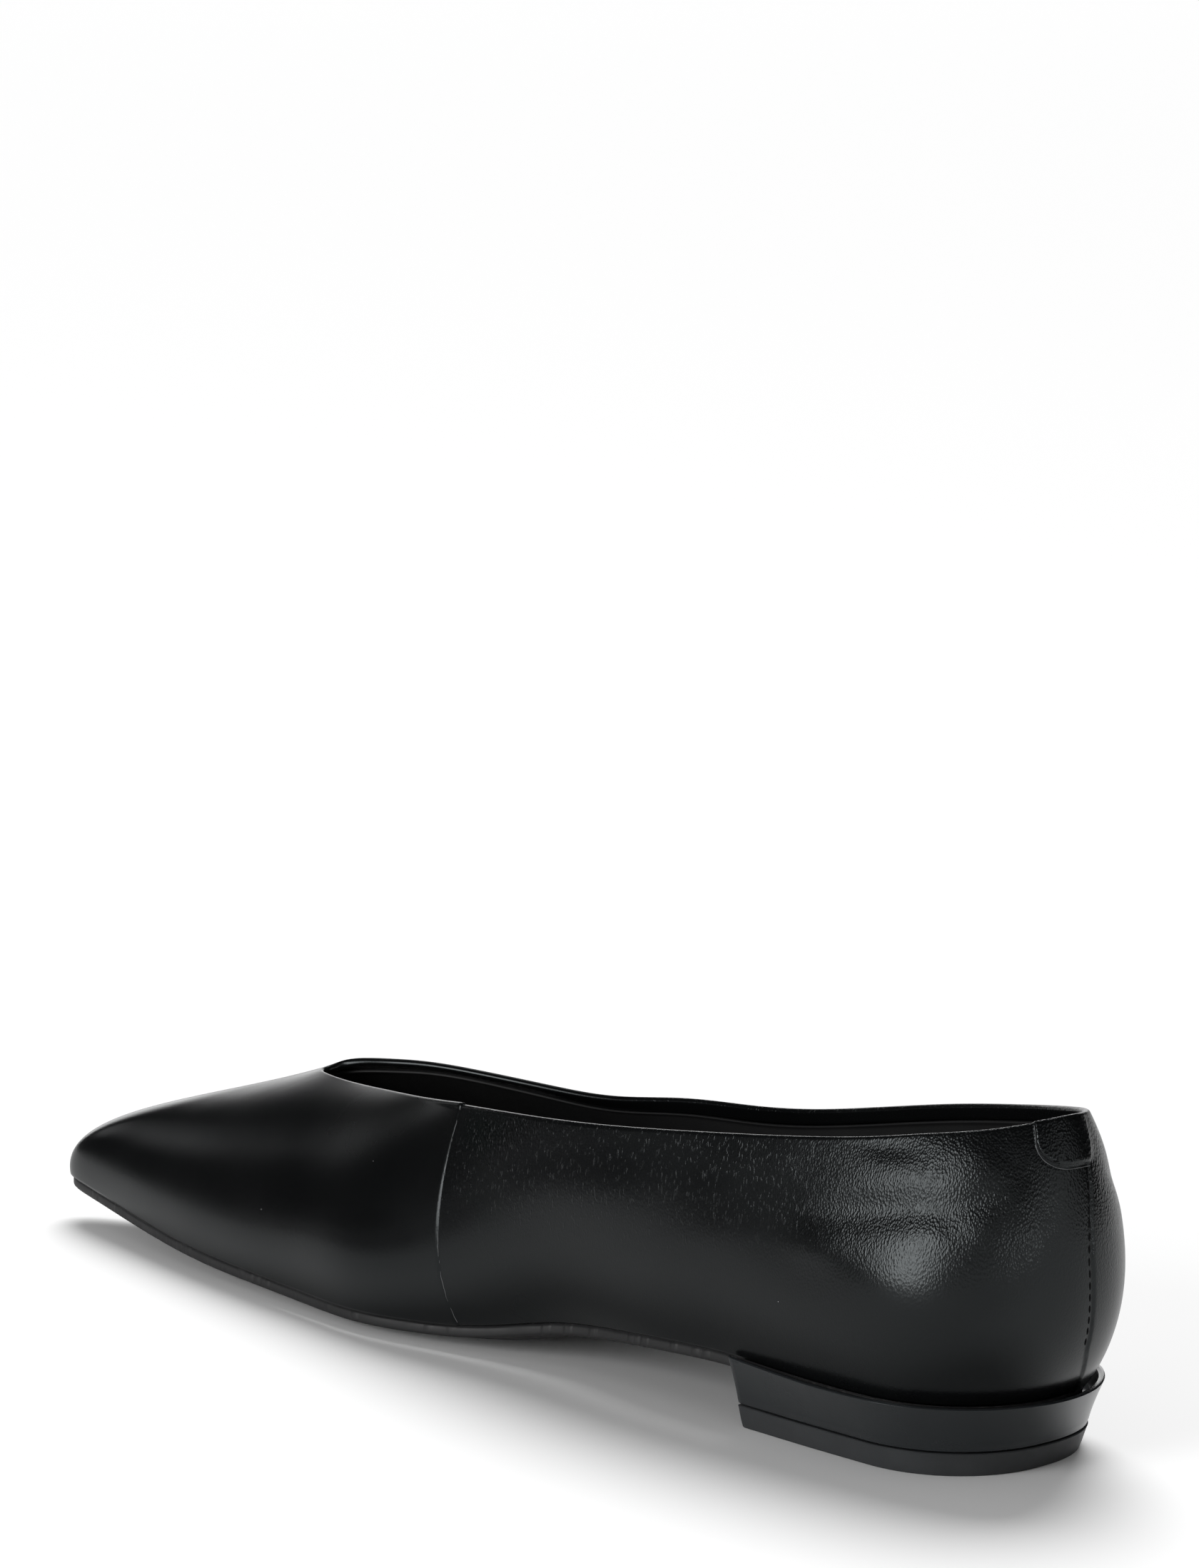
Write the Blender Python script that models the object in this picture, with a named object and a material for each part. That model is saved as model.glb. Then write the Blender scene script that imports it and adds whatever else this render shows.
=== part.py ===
"""Pointed toe flat shoe, right foot, as separate closed solids.

Metres, +Z up. +X runs to the toe, +Y to the inner side of the foot. The origin is on the floor
under the centre of the heel's round back. Outlines are short tables of shares of named sizes.
"""
import math

import bmesh
import bpy
import numpy as np

MM = 0.001

# driving dimensions of the last
SOLE_LENGTH = 269.0 * MM      # feather line, back of the heel to the tip
SEAT_BACK = 26.5 * MM         # feather line behind the origin
INNER_BALL = 31.5 * MM        # half width at the ball, big toe side
OUTER_BALL = 35.5 * MM        # half width at the ball, little toe side
COLLAR_LENGTH = 205.4 * MM    # back of the collar to the throat
COLLAR_BACK = 28.4 * MM       # collar behind the origin
COLLAR_HALF_WIDTH = 28.0 * MM
BACK_HEIGHT = 70.0 * MM       # top of the collar at the back seam
SEAT_HEIGHT = 12.0 * MM       # underside of the outsole over the heel
WALL_RISE = 15.0 * MM         # how far the lower wall keeps its first direction
WALL_BULGE = 10.0 * MM        # fullness of the counter behind the feather line

# thicknesses and clearances
WALL = 1.6 * MM
OUTSOLE_THICKNESS = 2.4 * MM
INSOLE_THICKNESS = 1.8 * MM
GAP = 0.3 * MM

# heel
LIFT_HEIGHT = 4.8 * MM
LIFT_BACK = 22.8 * MM
LIFT_HALF_WIDTH = 22.8 * MM     # inner side
LIFT_OUTER_WIDTH = 25.4 * MM    # outer side
LIFT_FLARE = 1.4 * MM
BREAST_X = 34.0 * MM
RIM_REACH = 3.4 * MM          # rim outside the feather line
RIM_WIDTH = 1.3 * MM
RIM_RISE = 0.4 * MM           # rim above the feather line
BREAST_TAPER = 0.5 * MM
INNER_FULLNESS = 0.96         # below 1 the round back is squarer than an ellipse
OUTER_FULLNESS = 0.84
BREAST_REACH = 0.55           # share of the rim's reach that is left at the breast
FADE_LENGTH = 24.0 * MM

# underside of the outsole
FLAT_START = 118.0 * MM       # tread touches the floor from here
FLAT_END = 168.0 * MM         # to here
TREAD_SHARE = 0.62            # share of the width that lies flat

# back tab
TAB_THICKNESS = 1.0 * MM
TAB_HALF_LENGTH = 7.0 * MM
TAB_DEPTH = 10.0 * MM

# mesh fineness
SIDE_STEPS = 46
RISE_STEPS = 11
SOLE_STEPS = 8
TOP_WEIGHT = 0.6              # how much the topline counts when the ribs are spaced
TURN_WEIGHT = 20.0 * MM       # how much closer the ribs lie where the outline turns
HEEL_STEPS = 40

# rows from the back seam to the tip, one table for each side; the columns are
# foot_x, foot_y: feather line, shares of SOLE_LENGTH and of the side's ball half width
# edge_z: underside of the sole's edge, share of SEAT_HEIGHT
# top_x, top_y, top_z: topline, shares of COLLAR_LENGTH, COLLAR_HALF_WIDTH and BACK_HEIGHT
# low_out, low_rise: first control point, shares of WALL_BULGE and WALL_RISE
# reach, top_out, top_drop: second control point, a share of the way back to the feather
# line in plan, then shares of WALL_BULGE and WALL_RISE
COLUMNS = ("foot_x", "foot_y", "edge_z", "top_x", "top_y", "top_z",
           "low_out", "low_rise", "reach", "top_out", "top_drop")

BACK_ROW = (0.000, 0.000, 1.00, 0.000, 0.000, 0.998, 1.15, 1.00, 0.00, 1.00, 1.20)
INNER_ROWS = (
    (0.014, 0.430, 1.00, 0.012, 0.260, 0.988, 1.02, 1.00, 0.00, 0.98, 1.15),
    (0.053, 0.740, 1.00, 0.045, 0.520, 0.966, 0.78, 1.00, 0.00, 0.90, 1.05),
    (0.108, 0.832, 1.00, 0.098, 0.710, 0.938, 0.63, 1.00, 0.00, 0.80, 1.00),
    (0.175, 0.819, 1.00, 0.165, 0.835, 0.900, 0.56, 1.00, 0.00, 0.60, 0.95),
    (0.240, 0.787, 1.00, 0.250, 0.920, 0.860, 0.53, 0.95, 0.00, 0.45, 0.95),
    (0.310, 0.768, 0.91, 0.345, 0.975, 0.820, 0.56, 0.90, 0.00, 0.30, 0.95),
    (0.375, 0.714, 0.76, 0.440, 1.000, 0.782, 0.70, 0.88, 0.00, 0.25, 0.95),
    (0.430, 0.714, 0.57, 0.530, 0.980, 0.750, 0.72, 0.88, 0.00, 0.30, 0.95),
    (0.490, 0.816, 0.29, 0.620, 0.910, 0.722, 0.62, 0.95, 0.05, 0.38, 0.85),
    (0.550, 0.933, 0.17, 0.705, 0.790, 0.694, 0.56, 1.05, 0.20, 0.35, 0.65),
    (0.605, 0.984, 0.13, 0.780, 0.640, 0.666, 0.55, 1.08, 0.36, 0.25, 0.48),
    (0.665, 0.933, 0.13, 0.850, 0.480, 0.640, 0.50, 1.08, 0.43, 0.16, 0.38),
    (0.730, 0.876, 0.16, 0.905, 0.355, 0.621, 0.44, 1.05, 0.44, 0.10, 0.34),
    (0.800, 0.800, 0.20, 0.945, 0.270, 0.611, 0.38, 1.02, 0.44, 0.10, 0.42),
    (0.870, 0.688, 0.30, 0.973, 0.200, 0.606, 0.32, 1.00, 0.45, 0.10, 0.54),
    (0.930, 0.575, 0.42, 0.989, 0.145, 0.603, 0.28, 0.96, 0.45, 0.12, 0.66),
    (0.966, 0.510, 0.50, 0.996, 0.100, 0.602, 0.26, 0.94, 0.45, 0.10, 0.73),
    (0.991, 0.445, 0.55, 0.999, 0.060, 0.602, 0.25, 0.92, 0.45, 0.06, 0.77),
)
TIP_ROW = (1.000, 0.333, 0.57, 1.000, 0.020, 0.603, 0.24, 0.91, 0.45, 0.00, 0.78)
OUTER_ROWS = (
    (0.014, 0.380, 1.00, 0.012, 0.260, 0.986, 1.02, 1.00, 0.00, 0.98, 1.15),
    (0.053, 0.656, 1.00, 0.045, 0.520, 0.966, 0.78, 1.00, 0.00, 0.90, 1.05),
    (0.108, 0.738, 1.00, 0.098, 0.710, 0.934, 0.63, 1.00, 0.00, 0.80, 1.00),
    (0.175, 0.727, 1.00, 0.165, 0.835, 0.893, 0.56, 1.00, 0.00, 0.60, 0.95),
    (0.240, 0.704, 1.00, 0.250, 0.920, 0.842, 0.52, 0.95, 0.00, 0.45, 0.90),
    (0.310, 0.700, 0.90, 0.345, 0.975, 0.778, 0.47, 0.92, 0.00, 0.32, 0.85),
    (0.375, 0.718, 0.74, 0.440, 1.000, 0.716, 0.45, 0.90, 0.00, 0.28, 0.80),
    (0.430, 0.760, 0.53, 0.530, 1.000, 0.676, 0.45, 0.92, 0.02, 0.32, 0.78),
    (0.490, 0.845, 0.27, 0.620, 0.950, 0.653, 0.50, 0.97, 0.08, 0.38, 0.70),
    (0.550, 0.938, 0.15, 0.705, 0.850, 0.621, 0.52, 1.02, 0.20, 0.36, 0.55),
    (0.605, 0.995, 0.13, 0.780, 0.725, 0.621, 0.52, 1.06, 0.33, 0.28, 0.44),
    (0.660, 0.986, 0.13, 0.850, 0.580, 0.632, 0.50, 1.08, 0.41, 0.20, 0.38),
    (0.720, 0.900, 0.15, 0.905, 0.430, 0.640, 0.45, 1.05, 0.44, 0.13, 0.38),
    (0.785, 0.727, 0.22, 0.945, 0.310, 0.636, 0.37, 1.02, 0.44, 0.12, 0.47),
    (0.850, 0.473, 0.33, 0.973, 0.190, 0.631, 0.31, 1.00, 0.45, 0.12, 0.56),
    (0.910, 0.197, 0.45, 0.989, 0.110, 0.622, 0.28, 0.96, 0.45, 0.12, 0.66),
    (0.954, -0.030, 0.52, 0.996, 0.058, 0.612, 0.26, 0.94, 0.45, 0.10, 0.73),
    (0.987, -0.175, 0.55, 0.999, 0.016, 0.606, 0.25, 0.92, 0.45, 0.06, 0.77),
)

# colour, roughness
FINISHES = {
    "upper": ((0.012, 0.013, 0.014), 0.32),
    "back_tab": ((0.014, 0.015, 0.016), 0.34),
    "insole": ((0.010, 0.010, 0.011), 0.70),
    "outsole": ((0.015, 0.015, 0.016), 0.60),
    "heel": ((0.010, 0.010, 0.011), 0.22),
    "heel_lift": ((0.018, 0.018, 0.019), 0.65),
}


def closed_spline(knots, values, at):
    """Value of the smooth closed curve through the rows at the knots in at (0 to 1)."""
    span = np.diff(np.append(knots, knots[0] + 1.0))
    rise = (np.roll(values, -1, axis=0) - values) / span[:, None]
    count = len(knots)
    system = np.zeros((count, count))
    for row in range(count):
        before = row - 1
        after = (row + 1) % count
        system[row, before] = span[row]
        system[row, row] = 2.0 * (span[before] + span[row])
        system[row, after] = span[before]
    target = 3.0 * (span[:, None] * np.roll(rise, 1, axis=0)
                    + np.roll(span, 1)[:, None] * rise)
    slopes = np.linalg.solve(system, target)
    at = np.mod(at, 1.0)
    row = np.searchsorted(knots, at, side="right") - 1
    step = span[row][:, None]
    share = (at - knots[row])[:, None] / step
    after = (row + 1) % count
    start, end = values[row], values[after]
    return (start * (1 + 2 * share) * (1 - share) ** 2 + end * share ** 2 * (3 - 2 * share)
            + slopes[row] * step * share * (1 - share) ** 2
            - slopes[after] * step * share ** 2 * (1 - share))


def sized(row, side):
    """One table row in metres; side is 1 for the inner half and -1 for the outer half."""
    cell = dict(zip(COLUMNS, row))
    ball = INNER_BALL if side > 0 else OUTER_BALL
    return (cell["foot_x"] * SOLE_LENGTH - SEAT_BACK, side * cell["foot_y"] * ball,
            cell["edge_z"] * SEAT_HEIGHT, cell["top_x"] * COLLAR_LENGTH - COLLAR_BACK,
            side * cell["top_y"] * COLLAR_HALF_WIDTH, cell["top_z"] * BACK_HEIGHT,
            cell["low_out"] * WALL_BULGE, cell["low_rise"] * WALL_RISE, cell["reach"],
            cell["top_out"] * WALL_BULGE, cell["top_drop"] * WALL_RISE)


def ring_rows():
    """The rows once round the shoe: back seam, inner side, tip, outer side."""
    rows = [sized(BACK_ROW, 1)]
    rows += [sized(row, 1) for row in INNER_ROWS]
    rows.append(sized(TIP_ROW, 1))
    rows += [sized(row, -1) for row in reversed(OUTER_ROWS)]
    return np.array(rows)


RING = ring_rows()
HALF = len(INNER_ROWS) + 1
KNOTS = np.concatenate([np.linspace(0.0, 0.5, HALF + 1),
                        np.linspace(0.5, 1.0, len(OUTER_ROWS) + 2)[1:-1]])


def around(at):
    """Rows of RING at the positions at, which run 0 to 1 from the back seam."""
    return closed_spline(KNOTS, RING, np.atleast_1d(at))


def outward(at):
    """Unit vectors in plan that point out of the feather line."""
    step = 0.0005
    run = around(at + step)[:, :2] - around(at - step)[:, :2]
    run /= np.linalg.norm(run, axis=1)[:, None]
    return np.column_stack([-run[:, 1], run[:, 0]])


def feather(at):
    """The lower edge of the upper, a gap above the outsole."""
    rows = around(at)
    height = rows[:, 2] + OUTSOLE_THICKNESS + GAP
    return np.column_stack([rows[:, :2], height])


def upper_surface(at, rise):
    """Outer face of the upper: ribs from the feather line (rise 0) to the topline (rise 1)."""
    at = np.atleast_1d(at)
    rise = np.broadcast_to(rise, at.shape)[:, None]
    rows = around(at)
    foot = feather(at)
    top = rows[:, 3:6]
    out = np.column_stack([outward(at), np.zeros(len(at))])
    up = np.array([0.0, 0.0, 1.0])
    low = foot + out * rows[:, 6:7] + up * rows[:, 7:8]
    back_to_foot = np.column_stack([foot[:, :2] - top[:, :2], np.zeros(len(at))])
    high = top + back_to_foot * rows[:, 8:9] + out * rows[:, 9:10] - up * rows[:, 10:11]
    left = 1 - rise
    return foot * left ** 3 + low * 3 * left ** 2 * rise + high * 3 * left * rise ** 2 + top * rise ** 3


def upper_normal(at, rise):
    """Unit vectors that point out of the upper's outer face."""
    at = np.atleast_1d(at)
    rise = np.broadcast_to(rise, at.shape)
    step = 0.002
    along = upper_surface(at + step, rise) - upper_surface(at - step, rise)
    upward = (upper_surface(at, np.minimum(rise + step, 1.0))
              - upper_surface(at, np.maximum(rise - step, 0.0)))
    face = np.cross(upward, along)
    return face / np.linalg.norm(face, axis=1)[:, None]


def offset_surface(at, rise, distance):
    """The upper's face moved outward by distance; a negative distance goes inward."""
    return upper_surface(at, rise) + upper_normal(at, rise) * distance


def station_positions():
    """Positions round the shoe, even along the feather line, the same count on each side."""
    fine = np.linspace(0.0, 1.0, 1601)
    line = around(fine)
    foot = np.linalg.norm(np.diff(line[:, :3], axis=0), axis=1)
    top = np.linalg.norm(np.diff(line[:, 3:6], axis=0), axis=1)
    facing = outward(fine)
    turning = np.linalg.norm(np.diff(facing, axis=0), axis=1)
    run = np.concatenate([[0.0], np.cumsum(foot + TOP_WEIGHT * top + TURN_WEIGHT * turning)])
    middle = len(fine) // 2
    inner = np.interp(np.linspace(0, run[middle], SIDE_STEPS + 1), run, fine)
    outer = np.interp(np.linspace(run[middle], run[-1], SIDE_STEPS + 1), run, fine)
    return np.concatenate([inner, outer[1:-1]])


POSITIONS = station_positions()


def make_object(name, points, faces):
    """A named object with its own material, its faces turned outward."""
    mesh = bpy.data.meshes.new(name)
    body = bmesh.new()
    corners = [body.verts.new(point) for point in points]
    for face in faces:
        body.faces.new([corners[index] for index in face])
    bmesh.ops.recalc_face_normals(body, faces=body.faces)
    body.to_mesh(mesh)
    body.free()
    mesh.shade_smooth()
    mesh.set_sharp_from_angle(angle=math.radians(35))
    colour, roughness = FINISHES[name]
    material = bpy.data.materials.new(name)
    material.use_nodes = True
    shader = material.node_tree.nodes["Principled BSDF"]
    shader.inputs["Base Color"].default_value = (*colour, 1.0)
    shader.inputs["Roughness"].default_value = roughness
    mesh.materials.append(material)
    shape = bpy.data.objects.new(name, mesh)
    bpy.context.scene.collection.objects.link(shape)
    return shape


def ring_faces(loops, count, closed_section):
    """Quads between neighbouring loops of count points, each loop closed on itself."""
    faces = []
    last = loops if closed_section else loops - 1
    for loop in range(last):
        after = (loop + 1) % loops
        for index in range(count):
            beside = (index + 1) % count
            faces.append((loop * count + index, loop * count + beside,
                          after * count + beside, after * count + index))
    return faces


def make_upper():
    """The lasted leather wall: an outer face, an inner face and two edges."""
    rises = np.linspace(0.0, 1.0, RISE_STEPS + 1)
    outer = [offset_surface(POSITIONS, rise, 0.0) for rise in rises]
    inner = [offset_surface(POSITIONS, rise, -WALL) for rise in reversed(rises)]
    points = np.concatenate(outer + inner)
    faces = ring_faces(len(outer + inner), len(POSITIONS), True)
    return make_object("upper", points, faces)


def plate_lines(inset):
    """Paired edge points of a sole plate, from the heel to the tip."""
    rows = around(POSITIONS)
    edge = rows[:, :3] - np.column_stack([outward(POSITIONS) * inset, np.zeros(len(rows))])
    count = len(POSITIONS)
    inner = edge[1:SIDE_STEPS]
    outer = edge[[count - step for step in range(1, SIDE_STEPS)]]
    return edge[0], inner, outer, edge[SIDE_STEPS]


def tread_drop(place, across):
    """How far the underside lies below its edge: none at the edge, down to the floor inside."""
    x, edge_z = place
    rounded = min(1.0, (1.0 - abs(across)) / (1.0 - TREAD_SHARE))
    blend = rounded * rounded * (3.0 - 2.0 * rounded)
    if FLAT_START <= x <= FLAT_END:
        return edge_z * blend
    if x > FLAT_END:
        spring = (x - FLAT_END) / (SOLE_LENGTH - SEAT_BACK - FLAT_END)
        floor = edge_z * min(1.0, spring * 1.1)
        return max(0.0, edge_z - floor) * blend
    arch = (FLAT_START - x) / (FLAT_START - BREAST_X)
    return max(0.0, edge_z * (1.0 - min(1.0, arch * 1.6)) ** 2) * blend


def make_plate(name, inset, low, high):
    """A sole plate with its faces low and high above the underside of the outsole."""
    back, inner, outer, tip = plate_lines(inset)
    shares = np.linspace(1.0, -1.0, SOLE_STEPS + 1)
    levels = []
    for lift in (low, high):
        rows = []
        for left, right in zip(inner, outer):
            for share in shares:
                point = left * (1 + share) / 2 + right * (1 - share) / 2
                drop = tread_drop((point[0], point[2]), share)
                rows.append((point[0], point[1], point[2] - drop + lift))
        rows.append((back[0], back[1], back[2] + lift))
        rows.append((tip[0], tip[1], tip[2] + lift))
        levels.append(rows)
    size = len(levels[0])
    width = SOLE_STEPS + 1
    lines = len(inner)
    faces = []
    for level in range(2):
        base = level * size
        for line in range(lines - 1):
            for step in range(SOLE_STEPS):
                corner = base + line * width + step
                faces.append((corner, corner + 1, corner + width + 1, corner + width))
        for step in range(SOLE_STEPS):
            faces.append((base + size - 2, base + step + 1, base + step))
            corner = base + (lines - 1) * width + step
            faces.append((base + size - 1, corner, corner + 1))
    rim = [size - 2] + [line * width for line in range(lines)] + [size - 1]
    rim += [line * width + SOLE_STEPS for line in reversed(range(lines))]
    for index, corner in enumerate(rim):
        after = rim[(index + 1) % len(rim)]
        faces.append((corner, after, after + size, corner + size))
    return make_object(name, levels[0] + levels[1], faces)


def foot_section(reach):
    """The heel seat's outline moved out by reach, from the inner breast corner to the outer."""
    fine = np.linspace(-0.25, 0.25, 801)
    line = around(fine)[:, :2]
    fade = np.clip((BREAST_X - line[:, 0]) / FADE_LENGTH, 0.0, 1.0)
    grown = reach * (BREAST_REACH + (1.0 - BREAST_REACH) * fade)
    rows = line + outward(fine) * grown[:, None]
    behind = np.nonzero(rows[:, 0] <= BREAST_X)[0]
    first, last = behind[0], behind[-1]
    rows = rows[first:last + 1][::-1]
    rows[0, 0] = BREAST_X
    rows[-1, 0] = BREAST_X
    run = np.concatenate([[0.0], np.cumsum(np.linalg.norm(np.diff(rows, axis=0), axis=1))])
    even = np.linspace(0.0, run[-1], HEEL_STEPS + 1)
    return np.column_stack([np.interp(even, run, rows[:, axis]) for axis in range(2)])


def lift_section(flare):
    """The D of the top piece, grown by flare, from the inner breast corner to the outer."""
    back, inner, outer = LIFT_BACK + flare, LIFT_HALF_WIDTH + flare, LIFT_OUTER_WIDTH + flare
    rows = [(BREAST_X, inner - BREAST_TAPER), (BREAST_X / 2, inner)]
    for turn in np.linspace(0.0, math.pi, 61):
        half, fullness = (inner, INNER_FULLNESS) if turn < math.pi / 2 else (-outer, OUTER_FULLNESS)
        rows.append((-back * math.sin(turn) ** fullness, half * abs(math.cos(turn)) ** fullness))
    rows = np.array(rows + [(BREAST_X / 2, -outer), (BREAST_X, BREAST_TAPER - outer)])
    run = np.concatenate([[0.0], np.cumsum(np.linalg.norm(np.diff(rows, axis=0), axis=1))])
    even = np.linspace(0.0, run[-1], HEEL_STEPS + 1)
    return np.column_stack([np.interp(even, run, rows[:, axis]) for axis in range(2)])


def d_solid(name, profiles):
    """A solid with a flat breast: each profile is one D of points, from its floor upward."""
    count = HEEL_STEPS + 1
    points = [tuple(point) for profile in profiles for point in profile]
    faces = []
    for level in range(len(profiles) - 1):
        base = level * count
        for step in range(HEEL_STEPS):
            corner = base + step
            faces.append((corner, corner + 1, corner + count + 1, corner + count))
    for base in (0, (len(profiles) - 1) * count):
        for step in range(HEEL_STEPS // 2 - 1):
            far = HEEL_STEPS - step
            faces.append((base + step, base + step + 1, base + far - 1, base + far))
        middle = HEEL_STEPS // 2
        faces.append((base + middle - 1, base + middle, base + middle + 1))
    near = [level * count for level in range(len(profiles))]
    far = [level * count + HEEL_STEPS for level in reversed(range(len(profiles)))]
    faces.append(near + far)
    return make_object(name, points, faces)


def flat_profile(section, height):
    """A D at one height."""
    return [(x, y, height) for x, y in section]


def make_lift():
    """The rubber top piece."""
    middle = LIFT_HEIGHT / 2
    return d_solid("heel_lift", [flat_profile(lift_section(0.0), 0.0),
                                 flat_profile(lift_section(LIFT_FLARE / 2), middle),
                                 flat_profile(lift_section(LIFT_FLARE), LIFT_HEIGHT)])


def make_heel():
    """The wrapped block: it flares from the top piece to a rim round the heel seat."""
    foot = LIFT_HEIGHT + GAP
    rim_top = SEAT_HEIGHT + OUTSOLE_THICKNESS + GAP + RIM_RISE
    seat = SEAT_HEIGHT - GAP
    base = lift_section(LIFT_FLARE)
    rim_outer = foot_section(RIM_REACH)
    rim_inner = foot_section(RIM_REACH - RIM_WIDTH)
    seat_edge = foot_section(2 * GAP)
    profiles = [flat_profile(base, foot)]
    for share in (0.25, 0.5, 0.75):
        flare = share ** 1.25
        section = base * (1 - flare) + rim_outer * flare
        profiles.append(flat_profile(section, foot + (rim_top - GAP - foot) * share))
    profiles.append(flat_profile(rim_outer, rim_top - GAP))
    profiles.append(flat_profile(rim_outer * 0.5 + rim_inner * 0.5, rim_top))
    profiles.append(flat_profile(rim_inner, rim_top - GAP))
    profiles.append(flat_profile(seat_edge, seat))
    return d_solid("heel", profiles)


def make_tab():
    """The strap end over the back seam, rounded at its lower free corner."""
    run_per_share = np.linalg.norm(upper_surface(0.01, 1.0) - upper_surface(0.0, 1.0)) / 0.01
    reach = TAB_HALF_LENGTH / run_per_share
    drop_per_share = np.linalg.norm(upper_surface(0.0, 1.0) - upper_surface(0.0, 0.95)) / 0.05
    depth = TAB_DEPTH / drop_per_share
    across, down = 14, 5
    grids = []
    for lift in (GAP, GAP + TAB_THICKNESS):
        for column in range(across + 1):
            share = column / across
            at = reach * (1.0 - 1.6 * share)
            corner = 1.0 - min(1.0, share / 0.30)
            low = depth * (1.0 - 0.55 * (1.0 - math.sqrt(1.0 - corner * corner)))
            for row in range(down + 1):
                rise = 1.0 - low * (1.0 - row / down) - 0.012 * row / down
                grids.append(offset_surface(at, rise, lift)[0])
    size = (across + 1) * (down + 1)
    width = down + 1
    faces = []
    for base in (0, size):
        for column in range(across):
            for row in range(down):
                corner = base + column * width + row
                faces.append((corner, corner + 1, corner + width + 1, corner + width))
    rim = [column * width for column in range(across)]
    rim += [across * width + row for row in range(down)]
    rim += [column * width + down for column in range(across, 0, -1)]
    rim += [row for row in range(down, 0, -1)]
    for index, corner in enumerate(rim):
        after = rim[(index + 1) % len(rim)]
        faces.append((corner, after, after + size, corner + size))
    return make_object("back_tab", grids, faces)


def main():
    """Build the shoe."""
    for thing in list(bpy.data.objects):
        bpy.data.objects.remove(thing, do_unlink=True)
    make_upper()
    make_plate("outsole", 0.0, 0.0, OUTSOLE_THICKNESS)
    clear_wall = WALL + 2 * GAP
    foot = OUTSOLE_THICKNESS + GAP
    make_plate("insole", clear_wall, foot, foot + INSOLE_THICKNESS)
    make_heel()
    make_lift()
    make_tab()


main()
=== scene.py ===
"""Pointed toe flat shoe, right foot: surfaces, seams, stitches, floor, light and camera.

Metres, +Z up, +X to the toe, +Y to the inner side of the foot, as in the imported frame.
"""

import logging
import math
from dataclasses import dataclass, field
from enum import Enum
from typing import Sequence

import bmesh
import bpy
import numpy as np
from mathutils import Matrix, Vector


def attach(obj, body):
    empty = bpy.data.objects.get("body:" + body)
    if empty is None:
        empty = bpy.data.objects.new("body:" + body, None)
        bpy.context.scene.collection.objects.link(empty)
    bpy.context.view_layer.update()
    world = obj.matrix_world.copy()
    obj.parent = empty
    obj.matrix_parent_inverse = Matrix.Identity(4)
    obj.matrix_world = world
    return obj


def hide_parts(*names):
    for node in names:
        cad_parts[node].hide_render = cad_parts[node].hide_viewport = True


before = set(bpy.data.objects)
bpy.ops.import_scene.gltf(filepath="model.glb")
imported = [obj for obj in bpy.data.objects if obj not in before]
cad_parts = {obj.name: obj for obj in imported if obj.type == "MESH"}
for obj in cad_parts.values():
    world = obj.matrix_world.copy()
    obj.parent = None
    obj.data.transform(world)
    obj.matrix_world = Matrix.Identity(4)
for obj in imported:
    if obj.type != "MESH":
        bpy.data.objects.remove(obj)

MM = 0.001
Colour = tuple[float, float, float]
LOG = logging.getLogger("flat_shoe")


class Side(Enum):
    """The two sides of the shoe, as the sign of their Y."""

    INNER = 1
    OUTER = -1


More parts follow.
